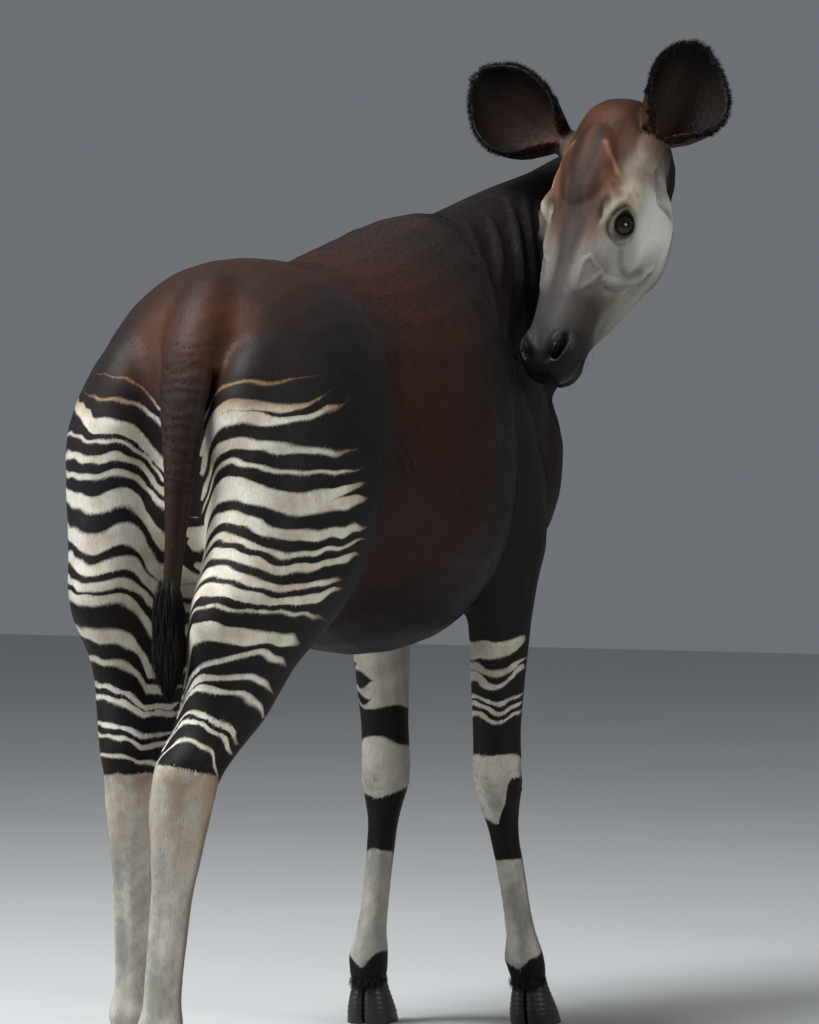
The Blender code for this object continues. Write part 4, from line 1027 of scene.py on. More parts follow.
def join_dock(whole):
    """Adds the top of the tail to the trunk, so that it grows out of the croup."""
    dock = flesh_copy(("tail",), SWELL)
    cut = bmesh.ops.bisect_plane(dock, geom=[*dock.verts, *dock.edges, *dock.faces], plane_co=(0.0, 0.0, DOCK_END),
                                 plane_no=(0.0, 0.0, -1.0), clear_outer=True)
    rim = [item for item in cut["geom_cut"] if isinstance(item, bmesh.types.BMEdge)]
    ring = [item for item in cut["geom_cut"] if isinstance(item, bmesh.types.BMVert)]
    middle = sum((vert.co for vert in ring), Vector()) / len(ring)
    for vert in ring:
        vert.co = middle + (vert.co - middle) * DOCK_RING
    bmesh.ops.holes_fill(dock, edges=rim)
    poured(dock, whole)


def remeshed_skin(settings):
    """All the flesh in one mesh, finer round the head, with the tail grown into the croup."""
    cuts = {name: 1 if name in ("head", "ear_left", "ear_right") else 3 for name in FLESH}
    centre = from_head(HEAD_CORE)
    whole = flesh_copy([name for name in FLESH if name != "tail"], SWELL, cuts)
    join_dock(whole)
    points = np.array([vert.co for vert in whole.verts])
    for vert, place in zip(whole.verts, spread(points, centre, settings.reach, settings.head_gain)):
        vert.co = place
    skin = remeshed("skin", whole, settings.voxel)
    move_corners(skin.data, gathered(corner_array(skin.data), centre, settings.reach, settings.head_gain))
    tail = remeshed("skin_tail", flesh_copy(("tail",), SWELL), TAIL_VOXEL)
    points = corner_array(tail.data)
    tuck = smooth_step(points[:, 2], DOCK_END - 0.05, DOCK_END + 0.01)
    move_corners(tail.data, points - normal_array(tail.data) * (0.0012 * tuck)[:, None])
    whole = bmesh.new()
    whole.from_mesh(skin.data)
    whole.from_mesh(tail.data)
    old = tail.data
    bpy.data.objects.remove(tail, do_unlink=True)
    bpy.data.meshes.remove(old)
    whole.to_mesh(skin.data)
    whole.free()
    return skin


def evened_out(mesh, regions, settings):
    """The skin's corners without facets and narrow hollows, changed least on head, ears, tail and dock."""
    points = corner_array(mesh)
    edges = edge_array(mesh)
    fine = np.maximum(regions["head"], regions["ears"])
    rounds = settings.rounds * (1.0 - fine) + settings.head_rounds * regions["head"] + 4.0 * regions["ears"]
    rounds = np.where(regions["tail"] > 0.5, 10.0, rounds)
    rounds = softened(rounds[:, None], edges, np.full(len(points), 12.0), 0.6)[:, 0]
    lips = (regions["head"] > 0.5) & (in_head(points)[:, 0] > 0.42)
    rounds = np.where(lips, np.minimum(rounds, 4.0), rounds)
    dock = (points[:, 2] > DOCK_END - 0.03) & (points[:, 1] > 0.50) & (np.abs(points[:, 0] - 0.085) < 0.075)
    rounds = np.where(dock & (regions["tail"] < 0.5), np.minimum(rounds, 8.0), rounds)
    share = (1.0 - fine) * (1.0 - regions["tail"]) * (1.0 - dock)
    share = softened(share[:, None], edges, np.full(len(points), 6.0), 0.6)[:, 0]
    return smoothed(filled(mesh, edges, share), edges, rounds)


def relief(points, regions, soft):
    """Height of folds, veins, lids, tendons and wrinkles at every point."""
    spine = points - SHIFT
    z = spine[:, 2]
    height = np.zeros(len(points))
    body_share = 1.0 - np.maximum(regions["head"], regions["ears"])
    for path, half_width, tall in BODY_FOLDS:
        height += rise(spine, path, half_width, tall) * body_share
    places = in_head(points)
    places[:, 1] = np.abs(places[:, 1])
    for path, half_width, tall in HEAD_FOLDS:
        height += rise(places, path, half_width, FOLD_GAIN * tall) * regions["head"]
    height += lid_rise(points) * regions["head"]
    height += 0.0012 * seep(points, 21, 0.11) * soft["trunk"]
    height += leg_relief(spine, regions)
    wrinkles = np.sin(2.0 * np.pi * (z + 0.003 * seep(spine, 33, 0.04)) / 0.014)
    knees = smooth_step(z, 0.415, 0.435) * (1.0 - smooth_step(z, 0.490, 0.510))
    height += 0.0009 * wrinkles * soft["forelegs"] * knees
    creases = np.sin(2.0 * np.pi * (z + 0.010 * seep(spine, 31, 0.06)) / 0.019)
    height += 0.0006 * creases * soft["tail"] * smooth_step(z, 0.92, 1.02)
    return height


def write_markings(mesh):
    """Colours, stripes, stockings, bare muzzle, lie of the coat and region, at every corner."""
    points = corner_array(mesh)
    regions = region_weights(points)
    soft = softened_regions(mesh, regions, 8.0)
    hide, pale, place, half, sock = body_colours(points, soft, bpy.context.scene.okapi_colours)
    hide = between(hide, head_colours(points, hide), soft["head"])
    hide = ear_colours(points, hide, regions)
    for region in ("head", "ears", "neck"):
        half = np.where(regions[region] > 0.5, NO_STRIPE, half)
        sock = np.where(regions[region] > 0.5, NO_SOCK, sock)
    bare = smooth_step(in_head(points)[:, 0], 0.452, 0.500) * soft["head"]
    for name, colours in (("hide", hide), ("pale", pale)):
        write_attribute(mesh, name, "FLOAT_COLOR", with_alpha(colours), "color")
    for name, values in (("stripe", place), ("stripe_half", half), ("sock", sock), ("bare", bare)):
        write_attribute(mesh, name, "FLOAT", values, "value")
    write_attribute(mesh, "lie", "FLOAT_VECTOR", coat_lie(points, normal_array(mesh), soft), "vector")
    region_code = np.argmax(np.stack([regions[name] for name in REGIONS], axis=1), axis=1)
    write_attribute(mesh, "region", "FLOAT", region_code, "value")


def build_skin():
    """The whole hide in one mesh, with its folds, markings and the lie of the coat as attributes."""
    settings = bpy.context.scene.okapi_skin
    skin = remeshed_skin(settings)
    mesh = skin.data
    regions = region_weights(corner_array(mesh))
    points = evened_out(mesh, regions, settings)
    move_corners(mesh, points)
    soft = softened_regions(mesh, regions, 10.0)
    height = relief(points, regions, soft) - settings.depth * (1.0 - regions["ears"])
    move_corners(mesh, points + normal_array(mesh) * height[:, None])
    haunch = smooth_step(points[:, 1] - SHIFT[1], 0.26, 0.36)
    striped = np.maximum(soft["hindlegs"], soft["forelegs"]) + soft["trunk"] * haunch
    spared = np.clip(striped + sum(share * soft[name] for name, share in SPARED.items()), 0.0, 1.0)
    thinned(skin, settings.triangles, np.round(1.0 - 0.98 * spared, 2))
    write_markings(skin.data)
    shade_smooth(skin.data)
    return skin


def on_ear(points, regions, side):
    return (regions["ears"] > 0.5) & ((in_head(points)[:, 1] > 0.0) == (side == "left"))


def ear_rims(points, regions):
    """1 on the free edges of both ears, 0 elsewhere, and the way that each edge faces."""
    rim = np.zeros(len(points))
    outward = np.zeros((len(points), 3))
    for side in EARS:
        share, depth, way, cup = ear_places(points, side)
        over = np.cross(way, cup)
        across = (points - from_head(EARS[side])) @ over
        mine = on_ear(points, regions, side)
        level = np.clip((share * 24).astype(int), 0, 24)
        for edge in (-1.0, 1.0):
            for step in range(3, 25):
                here = mine & (level == step) & (across * edge > 0.004)
                if here.any():
                    top = depth[here].max()
                    rim[here] = np.maximum(rim[here], smooth_step(depth[here], top - 0.011, top - 0.004))
            outward[mine & (across * edge > 0)] = edge * 0.8 * over + 0.25 * cup + 0.35 * way
        crest = mine & (share > 0.94)
        rim[crest] = 1.0
        outward[crest] = way
    return rim, unit(outward)


def ear_colours(points, hide, regions):
    """Chestnut cups with near-black rims and backs."""
    hide = hide.copy()
    rim, _ = ear_rims(points, regions)
    for side in EARS:
        share, depth, _, _ = ear_places(points, side)
        mine = on_ear(points, regions, side)
        shade = painted(plain((40, 27, 22)), (22, 14, 11), smooth_step(depth[mine], -0.03, 0.005))
        shade = painted(shade, (10, 8, 7), np.maximum(smooth_step(share[mine], 0.70, 1.0), rim[mine]))
        hide[mine] = painted(shade, (78, 48, 33), 1.0 - smooth_step(share[mine], 0.05, 0.45))
    return hide


def unwrap(obj):
    """Lays the skin's own shape out flat in the map that the tufts also use."""
    bpy.context.view_layer.objects.active = obj
    for other in bpy.context.selected_objects:
        other.select_set(False)
    obj.select_set(True)
    bpy.ops.object.mode_set(mode="EDIT")
    bpy.ops.mesh.select_all(action="SELECT")
    bpy.ops.uv.smart_project(angle_limit=math.radians(66.0), island_margin=0.001)
    bpy.ops.object.mode_set(mode="OBJECT")
    obj.data.uv_layers[0].name = "OFBake"


def skin_material():
    """Short flat hair over hide: markings from the skin's fields, streaks and a bare muzzle."""
    sheet = Sheet("okapi_hide", **{"Roughness": 0.62, "Sheen Weight": 0.008, "Sheen Roughness": 0.30,
                                   "Sheen Tint": (0.72, 0.82, 1.0, 1.0), "Specular IOR Level": 0.13})
    place = sheet.place()
    upright = abs(sheet.wire("ShaderNodeSeparateXYZ", {}, {0: sheet.attribute("lie", "Vector")}, "Z"))
    along = sheet.wire("ShaderNodeMapping", {"vector_type": "POINT"},
                       {"Vector": place, "Rotation": (math.radians(-23.0), 0.0, 0.0), "Scale": (1.0, 0.16, 1.0)})
    down = sheet.vector("MULTIPLY", place, (1.0, 1.0, 0.16))
    share = ((upright - 0.45) * 3.5).clamped()
    flat_streak = sheet.noise(along, 620.0, 2.0, 0.6)
    streak = flat_streak + (sheet.noise(down, 620.0, 2.0, 0.6) - flat_streak) * share
    mottle = sheet.noise(place, 9.0, 3.0)
    stripe = sheet.attribute("stripe")
    inside = sheet.attribute("stripe_half") - abs(stripe - stripe.rounded()) + (streak - 0.5) * 0.10
    sock = sheet.attribute("sock") + (streak - 0.5) * 0.006
    mask = (inside * STRIPE_EDGE + 0.5).clamped().most((sock * SOCK_EDGE + 0.5).clamped())
    colour = sheet.blend(sheet.attribute("hide", "Color"), sheet.attribute("pale", "Color"), mask)
    bare = sheet.attribute("bare")
    shade = (streak - 0.5) * 0.60 + (mottle - 0.5) * 0.30 + 1.0
    colour = sheet.scaled(colour, shade)
    pebble = sheet.wire("ShaderNodeTexVoronoi", {"feature": "F1"}, {"Vector": place, "Scale": 420.0})
    hair = (1.0 - bare) * streak + bare * pebble * 0.6
    sheet.surface(Base_Color=colour, Roughness=0.56 - bare * 0.16, Normal=sheet.bump(hair, 0.00028, 0.5))
    return sheet.material


class OKAPI_OT_skin(bpy.types.Operator):
    """Make one skin for trunk, neck, head, ears, legs and tail"""
    bl_idname = "okapi.skin"
    bl_label = "Skin"

    def execute(self, context):
        skin = build_skin()
        unwrap(skin)
        skin.data.materials.append(skin_material())
        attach(skin, "root")
        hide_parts(*FLESH)
        return {"FINISHED"}


# ---- Coat --------------------------------------------------------------------------------------
FRINGE_HAIRS = 14000
CORONET_HAIRS = 6400
TUFT_LOCKS = 1300
SLIVER_FACES = ((0, 2, 1), (0, 3, 2), (0, 1, 3), (1, 2, 3))
# Piece, its regions, y limits in the spine's frame, number of tufts, size and height against the trunk's.
COAT_PIECES = (
    ("coat_shoulder", ("trunk",), (-1.0, -0.08), 38000, 1.00, 1.0),
    ("coat_barrel", ("trunk",), (-0.08, 0.27), 38000, 1.00, 1.0),
    ("coat_haunch", ("trunk",), (0.27, 1.0), 49500, 0.56, 0.9),
    ("coat_neck", ("neck",), (-1.0, 1.0), 48000, 0.90, 1.1),
    ("coat_head", ("head",), (-1.0, 1.0), 49500, 0.42, 0.35),
    ("coat_ears", ("ears",), (-1.0, 1.0), 30000, 0.55, 1.6),
    ("coat_forelegs", ("forelegs",), (-1.0, 1.0), 36000, 0.50, 0.8),
    ("coat_hindlegs", ("hindlegs", "tail"), (-1.0, 1.0), 49500, 0.54, 0.9),
)


class SkinReading:
    """The finished skin as arrays, from which tufts take their places and colours."""

    def __init__(self, skin):
        mesh = skin.data
        mesh.calc_loop_triangles()
        count = len(mesh.loop_triangles)
        self.corners = np.empty(count * 3, np.int64)
        mesh.loop_triangles.foreach_get("vertices", self.corners)
        self.corners = self.corners.reshape(-1, 3)
        loops = np.empty(count * 3, np.int64)
        mesh.loop_triangles.foreach_get("loops", loops)
        flat = np.empty(len(mesh.loops) * 2)
        mesh.uv_layers["OFBake"].data.foreach_get("uv", flat)
        self.flat = flat.reshape(-1, 2)[loops.reshape(-1, 3)]
        self.points = corner_array(mesh)
        self.normals = normal_array(mesh)
        self.lie = read_attribute(mesh, "lie", "vector", 3)
        self.hide = read_attribute(mesh, "hide", "color", 4)[:, :3]
        self.pale = read_attribute(mesh, "pale", "color", 4)[:, :3]
        self.fields = np.column_stack([read_attribute(mesh, name, "value", 1)
                                       for name in ("stripe", "stripe_half", "sock", "bare")])
        self.region = read_attribute(mesh, "region", "value", 1)[:, 0]
        self.found = None
        outer = self.outer_triangles()
        self.found = None
        self.corners, self.flat = self.corners[outer], self.flat[outer]
        shape = self.points[self.corners]
        self.area = 0.5 * np.linalg.norm(np.cross(shape[:, 1] - shape[:, 0], shape[:, 2] - shape[:, 0]), axis=1)

    def outer_triangles(self):
        """True for each triangle from which a ray gets away, so that no tuft roots in a fold closed on itself."""
        tree = self.tree()
        shape = self.points[self.corners]
        normals = unit(np.cross(shape[:, 1] - shape[:, 0], shape[:, 2] - shape[:, 0]))
        along = unit(shape[:, 1] - shape[:, 0])
        across = np.cross(normals, along)
        middles = shape.mean(axis=1) + normals * 0.0002
        left = np.arange(len(middles))
        for way in (normals, normals + along, normals - along, normals + across, normals - across):
            rays = unit(way[left])
            hits = [tree.ray_cast(Vector(middles[k]), Vector(ray), NARROW)[0] for k, ray in zip(left, rays)]
            left = left[np.array([hit is not None for hit in hits], bool)]
        outer = np.ones(len(middles), bool)
        outer[left] = False
        return outer

    def tree(self):
        if self.found is None:
            self.found = BVHTree.FromPolygons(self.points.tolist(), self.corners.tolist())
        return self.found

    def within(self, regions):
        """True for each corner of the skin in one of the regions."""
        return np.isin(np.round(self.region), [list(REGIONS).index(name) for name in regions])

    def flat_at(self, picked, shares):
        """Places on the unwrap, from triangles and shares of their corners."""
        return np.einsum("ij,ijk->ik", shares, self.flat[picked])


def pick_roots(reading, chance, count, rng):
    """Evenly drawn roots on the skin, with their triangles' corners, shares of those, and places on the unwrap."""
    total = np.cumsum(chance)
    steps = (np.arange(count) + rng.random(count)) / count * total[-1]
    picked = np.clip(np.searchsorted(total, steps), 0, len(chance) - 1)
    first = rng.random(count)
    second = rng.random(count)
    over = first + second > 1.0
    first[over] = 1.0 - first[over]
    second[over] = 1.0 - second[over]
    shares = np.stack((1.0 - first - second, first, second), axis=1)
    corners = reading.corners[picked]
    return mixed(reading.points, corners, shares), corners, shares, reading.flat_at(picked, shares)


def under(reading, places):
    """The point of the skin nearest each place, its triangle and its shares of the triangle's corners."""
    tree = reading.tree()
    found = [tree.find_nearest(Vector(place)) for place in places]
    spots = np.array([hit[0] for hit in found])
    picked = np.array([hit[2] for hit in found])
    shape = reading.points[reading.corners[picked]]
    one, two, away = shape[:, 1] - shape[:, 0], shape[:, 2] - shape[:, 0], spots - shape[:, 0]
    a, b, c = np.sum(one * one, 1), np.sum(one * two, 1), np.sum(two * two, 1)
    d, e = np.sum(away * one, 1), np.sum(away * two, 1)
    low = np.maximum(a * c - b * b, 1e-18)
    second = np.clip((c * d - b * e) / low, 0.0, 1.0)
    third = np.clip((a * e - b * d) / low, 0.0, 1.0 - second)
    return spots, picked, np.stack((1.0 - second - third, second, third), axis=1)


def mixed(values, corners, shares):
    return np.einsum("ij,ijk->ik", shares, values[corners])


def tuft_colours(hide, pale, fields, rng):
    """The marking's colour at each root, with each tuft a little its own."""
    count = len(hide)
    stripe, half, sock = fields[:, 0], fields[:, 1], fields[:, 2]
    inside = half - np.abs(stripe - np.round(stripe)) + rng.normal(0.0, 0.022, count)
    sock = sock + rng.normal(0.0, 0.0022, count)
    mask = np.maximum(np.clip(inside * STRIPE_EDGE + 0.5, 0, 1), np.clip(sock * SOCK_EDGE + 0.5, 0, 1))
    tone = np.clip(1.0 + rng.normal(0.0, 0.15, count), 0.6, 1.5)
    return between(hide, pale, mask) * tone[:, None]


def hair_mesh(name, corners, faces, tints, flat, square, smooth):
    """Many small closed pieces in one mesh. Each has its own corners and tints, and all share faces and patch."""
    count, size, _ = corners.shape
    index = ((np.arange(count) * size)[:, None, None] + np.array(faces)[None]).reshape(-1)
    mesh = bpy.data.meshes.new(name)
    mesh.vertices.add(count * size)
    mesh.vertices.foreach_set("co", corners.reshape(-1))
    mesh.loops.add(len(index))
    mesh.loops.foreach_set("vertex_index", index.astype(np.int32))
    mesh.polygons.add(len(index) // 3)
    mesh.polygons.foreach_set("loop_start", np.arange(0, len(index), 3, dtype=np.int32))
    mesh.polygons.foreach_set("use_smooth", np.full(len(index) // 3, smooth))
    mesh.update(calc_edges=True)
    write_attribute(mesh, "tint", "FLOAT_COLOR", with_alpha(tints), "color")
    corner_flat = (flat[:, None, :] + square[None]).reshape(-1, 2)
    mesh.uv_layers.new(name="OFBake").data.foreach_set("uv", corner_flat[index].ravel())
    return mesh


def sliver_mesh(name, roots, middles, tips, normals, widths, heights, colours, flat, patch):
    """Closed four-sided slivers that hug the skin: a sunk root, two sides at the middle and a raised tip."""
    across = unit(np.cross(normals, tips - roots)) * widths[:, None] * 0.5
    up = normals * heights[:, None]
    waist = middles + up * 0.22
    corners = np.stack((roots - up * 0.25, waist + across, tips + up, waist - across), axis=1)
    tints = colours[:, None, :] * np.array((0.92, 1.0, 1.04, 1.0))[None, :, None]
    square = np.array(((-0.5, 0.0), (0.0, 0.5), (0.5, 0.0), (0.0, -0.5))) * patch
    return hair_mesh(name, corners, SLIVER_FACES, tints, flat, square, False)


def coat_material():
    sheet = Sheet("okapi_coat", **{"Roughness": 0.58, "Sheen Weight": 0.008, "Sheen Roughness": 0.30,
                                   "Sheen Tint": (0.72, 0.82, 1.0, 1.0), "Specular IOR Level": 0.13})
    mottle = sheet.noise(sheet.place(), 9.0, 3.0)
    fine = sheet.noise(sheet.place(), 900.0, 1.0)
    shade = (mottle - 0.5) * 0.35 + (fine - 0.5) * 0.25 + 1.0
    colour = sheet.scaled(sheet.attribute("tint", "Color"), shade)
    sheet.surface(Base_Color=colour, Roughness=0.50 + fine * 0.14)
    return sheet.material


def place_hair(name, mesh):
    mesh.materials.append(bpy.data.materials["okapi_coat"])
    made = new_object(name, mesh)
    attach(made, "root")
    return made


class OKAPI_OT_coat(bpy.types.Operator):
    """Lay the short coat over the skin in thin overlapping tufts"""
    bl_idname = "okapi.coat"
    bl_label = "Coat"

    def execute(self, context):
        settings = context.scene.okapi_coat
        reading = SkinReading(bpy.data.objects["skin"])
        coat_material()
        first = reading.corners[:, 0]
        y = reading.points[reading.corners].mean(axis=1)[:, 1] - SHIFT[1]
        bare = reading.fields[first, 3]
        for number, (piece, regions, limits, count, size, height) in enumerate(COAT_PIECES):
            rng = np.random.default_rng(100 + number)
            mine = reading.within(regions)[first] & (y >= limits[0]) & (y < limits[1])
            chance = reading.area * mine * (1.0 - np.clip(bare * 1.2, 0.0, 1.0))
            total = int(count * settings.fullness)
            roots, corners, shares, flat = pick_roots(reading, chance, total, rng)
            normals = unit(mixed(reading.normals, corners, shares))
            ways = mixed(reading.lie, corners, shares)
            ways = ways + np.cross(normals, ways) * rng.normal(0.0, 0.16, total)[:, None]
            ways = unit(ways - normals * np.sum(ways * normals, axis=1, keepdims=True))
            sizes = size * rng.uniform(0.75, 1.25, total)
            lengths = (settings.length * sizes)[:, None]
            middles, below, parts = under(reading, roots + ways * lengths * 0.45)
            tips, _, _ = under(reading, roots + ways * lengths)
            below = reading.corners[below]
            colours = tuft_colours(mixed(reading.hide, below, parts), mixed(reading.pale, below, parts),
                                   mixed(reading.fields, below, parts), rng)
            widths = settings.width * sizes * rng.uniform(0.8, 1.2, total)
            heights = settings.height * height * rng.uniform(0.5, 1.5, total)
            mesh = sliver_mesh(piece, roots, middles, tips, normals, widths, heights, colours, flat, settings.patch)
            place_hair(piece, mesh)
        return {"FINISHED"}


def strand_mesh(name, lines, widths, sides, colours, flat, patch):
    """Closed tapering strands: each follows its own line of points, three corners round, to a single tip."""
    count, steps, _ = lines.shape
    runs = unit(np.gradient(lines, axis=1))
    across = unit(sides[:, None, :] - runs * np.sum(sides[:, None, :] * runs, axis=2, keepdims=True))
    over = np.cross(runs, across)
    rings = [lines + across * widths[:, :, None] * 0.5, lines - across * widths[:, :, None] * 0.5,
             lines + over * widths[:, :, None] * 0.35]
    body = np.stack(rings, axis=2)[:, :-1].reshape(count, -1, 3)
    corners = np.concatenate((body, lines[:, -1:]), axis=1)
    size = corners.shape[1]
    faces = [(0, 2, 1)]
    for step in range(steps - 2):
        for k in range(3):
            one, two = step * 3 + k, step * 3 + (k + 1) % 3
            faces += [(one, two, two + 3), (one, two + 3, one + 3)]
    last = (steps - 2) * 3
    faces += [(last + k, last + (k + 1) % 3, size - 1) for k in range(3)]
    along = np.linspace(0.0, 1.0, size)
    curl = np.stack((np.cos(along * 6.0) * (1.0 - along), np.sin(along * 6.0) * (1.0 - along)), axis=1)
    tints = np.repeat(colours[:, None, :], size, axis=1)
    mesh = hair_mesh(name, corners, faces, tints, flat, curl * 0.5 * patch, True)
    recalculated = bmesh.new()
    recalculated.from_mesh(mesh)
    bmesh.ops.recalc_face_normals(recalculated, faces=recalculated.faces)
    recalculated.to_mesh(mesh)
    recalculated.free()
    return mesh


def flat_under(reading, places):
    _, picked, shares = under(reading, places)
    return reading.flat_at(picked, shares)


class OKAPI_OT_fringe(bpy.types.Operator):
    """Edge the ears with short black hair and set the lashes and whiskers"""
    bl_idname = "okapi.fringe"
    bl_label = "Fringe"

    def execute(self, context):
        settings = context.scene.okapi_coat
        reading = SkinReading(bpy.data.objects["skin"])
        rng = np.random.default_rng(61)
        ears = {"ears": reading.within(("ears",)).astype(float)}
        rim, outward = ear_rims(reading.points, ears)
        chance = reading.area * (rim[reading.corners].mean(axis=1) > 0.15)
        count = FRINGE_HAIRS
        roots, corners, shares, flat = pick_roots(reading, chance, count, rng)
        ways = unit(mixed(outward, corners, shares) + rng.normal(0.0, 0.34, (count, 3)))
        lengths = 0.0085 * rng.uniform(0.5, 1.4, (count, 1))
        colours = np.tile(plain((15, 12, 11)), (count, 1)) * rng.uniform(0.7, 1.5, (count, 1))
        facing = unit(np.cross(ways, rng.normal(size=(count, 3))))
        mesh = sliver_mesh("coat_fringe", roots, roots + ways * lengths * 0.4, roots + ways * lengths, facing,
                           np.full(count, 0.0011), np.full(count, 0.0003), colours, flat, settings.patch)
        place_hair("coat_fringe", mesh)
        self.coronets(reading, settings, rng)
        self.lashes(reading, settings, rng)
        return {"FINISHED"}

    @staticmethod
    def coronets(reading, settings, rng):
        low = reading.within(("forelegs", "hindlegs")) & (reading.points[:, 2] < 0.094)
        chance = reading.area * low[reading.corners].min(axis=1)
        count = CORONET_HAIRS
        roots, corners, shares, flat = pick_roots(reading, chance, count, rng)
        normals = unit(mixed(reading.normals, corners, shares) * (1.0, 1.0, 0.2))
        ways = unit(normals * 0.22 + np.array((0.0, 0.0, -1.0)) + rng.normal(0.0, 0.12, (count, 3)))
        lengths = 0.016 * rng.uniform(0.6, 1.3, (count, 1))
        colours = np.tile(plain((20, 17, 16)), (count, 1)) * rng.uniform(0.7, 1.4, (count, 1))
        tips = roots + ways * lengths
        tips[:, 2] = np.maximum(tips[:, 2], 0.030)
        mesh = sliver_mesh("coat_coronets", roots, (roots + tips) / 2.0, tips, normals, np.full(count, 0.0016),
                           np.full(count, 0.0004), colours, flat, settings.patch)
        place_hair("coat_coronets", mesh)

    @staticmethod
    def lashes(reading, settings, rng):
        lines, sides, widths = [], [], []
        steps = np.linspace(0.0, 1.0, 5)[:, None]
        fade = 1.0 - 0.8 * steps[:, 0]
        for side in (1.0, -1.0):
            centre, look, along, up = eye_axes(side)
            for turn in np.linspace(0.16 * np.pi, 0.90 * np.pi, 46):
                edge = along * math.cos(turn) * EYE_OPEN[0] * 0.84 + up * math.sin(turn) * EYE_OPEN[1] * 0.88
                root = centre + edge + look * 0.0205
                way = unit(look * 1.0 + unit(edge) * 0.75 + rng.normal(0.0, 0.10, 3))
                length = 0.012 * rng.uniform(0.7, 1.2)
                lines.append(from_head(root + way * length * steps + up * 0.004 * steps ** 2))
                sides.append(along @ HEAD_AXES)
                widths.append(0.0009 * fade)
        for k in range(24):
            side = -1.0 if k % 2 else 1.0
            root = np.array((rng.uniform(0.44, 0.52), side * rng.uniform(0.020, 0.050),
                             rng.uniform(-0.105, -0.055)))
            _, picked, shares = under(reading, from_head(root[None]))
            spot = mixed(reading.points, reading.corners[picked], shares)[0]
            normal = mixed(reading.normals, reading.corners[picked], shares)[0]
            way = unit(normal + NOSE * 0.4 + rng.normal(0.0, 0.2, 3))
            length = rng.uniform(0.010, 0.022)
            lines.append(spot - normal * 0.001 + way * length * steps - np.array((0.0, 0.0, 0.008)) * steps ** 2)
            sides.append(NOSE)
            widths.append(0.0006 * fade)
        lines = np.array(lines)
        colours = np.tile(plain((14, 12, 11)), (len(lines), 1))
        mesh = strand_mesh("coat_lashes", lines, np.array(widths), np.array(sides), colours,
                           flat_under(reading, lines[:, 0]), settings.patch)
        place_hair("coat_lashes", mesh)


class OKAPI_OT_tuft(bpy.types.Operator):
    """Hang the black tuft from the end of the tail in long tapering locks"""
    bl_idname = "okapi.tuft"
    bl_label = "Tail tuft"

    def execute(self, context):
        settings = context.scene.okapi_coat
        reading = SkinReading(bpy.data.objects["skin"])
        rng = np.random.default_rng(71)
        low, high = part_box("tail_tuft")
        middle = np.array(((low.x + high.x) / 2.0, (low.y + high.y) / 2.0 + 0.002))
        count = TUFT_LOCKS
        steps = np.linspace(0.0, 1.0, 7)
        lines = np.empty((count, 7, 3))
        start = high.z + 0.052 - 0.112 * rng.random(count) ** 0.75
        round_turn = rng.uniform(0.0, 2.0 * np.pi, count)
        belly = 0.016 * np.sqrt(rng.random(count))[:, None]
        reach = np.minimum(start - (low.z - 0.014 * rng.random(count)), 0.150) * rng.uniform(0.72, 1.0, count)
        spread_out = 0.0118 * (1.0 - steps[None, :] ** 2) + belly * np.sin(np.pi * steps ** 0.75)[None, :]
        sway = 0.004 * np.sin(steps[None, :] * 4.0 + rng.uniform(0.0, 6.0, count)[:, None]) * steps[None, :]
        lines[:, :, 0] = middle[0] + np.cos(round_turn)[:, None] * spread_out * 1.10 + sway
        lines[:, :, 1] = middle[1] + np.sin(round_turn)[:, None] * spread_out * 0.80
        lines[:, :, 2] = start[:, None] - reach[:, None] * steps[None, :]
        widths = rng.uniform(0.0016, 0.0032, count)[:, None] * (1.0 - 0.85 * steps[None, :] ** 1.5)
        sides = np.stack((-np.sin(round_turn), np.cos(round_turn), np.zeros(count)), axis=1)
        colours = np.tile(plain((15, 13, 12)), (count, 1)) * rng.uniform(0.6, 1.6, (count, 1))
        rusty = (rng.random(count) < 0.10)[:, None]
        colours = np.where(rusty, plain((40, 27, 21)), colours)
        flat = flat_under(reading, lines[:, 0])
        mesh = strand_mesh("tuft_locks", lines, widths, sides, colours, flat, settings.patch)
        made = place_hair("tuft_locks", mesh)
        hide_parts("tail_tuft")
        return {"FINISHED"}


# ---- Eyes and hooves ---------------------------------------------------------------------------
def eye_material():
    sheet = Sheet("okapi_eye", **{"Roughness": 0.12, "Coat Weight": 0.35, "Coat Roughness": 0.02,
                                  "Specular IOR Level": 0.18})
    iris = sheet.attribute("iris")
    fibre = sheet.noise(sheet.place(), 700.0, 2.0)
    ring = sheet.add("ShaderNodeValToRGB", {"stops": (
        (0.0, (0.002, 0.002, 0.003, 1.0)), (0.34, (0.003, 0.003, 0.004, 1.0)), (0.42, (0.014, 0.008, 0.005, 1.0)),
        (0.72, (0.012, 0.007, 0.005, 1.0)), (0.80, (0.004, 0.003, 0.003, 1.0)), (1.0, (0.020, 0.013, 0.010, 1.0)),
    )}, {"Fac": iris})
    colour = sheet.blend(Wire(sheet, ring.outputs[0]), (0.020, 0.012, 0.008, 1.0), (fibre * 0.3).clamped())
    sheet.surface(Base_Color=colour)
    return sheet.material


def hoof_material():
    sheet = Sheet("okapi_hoof", **{"Roughness": 0.40, "Specular IOR Level": 0.45})
    place = sheet.place()
    grain = sheet.noise(sheet.vector("MULTIPLY", place, (260.0, 260.0, 30.0)), 1.0, 3.0)
    wear = sheet.noise(place, 60.0, 4.0)
    colour = sheet.blend((0.010, 0.008, 0.008, 1.0), (0.040, 0.032, 0.026, 1.0), ((wear - 0.38) * 1.2).clamped())
    sheet.surface(Base_Color=colour, Roughness=0.34 + wear * 0.22, Normal=sheet.bump(grain, 0.0010, 0.4))
    return sheet.material


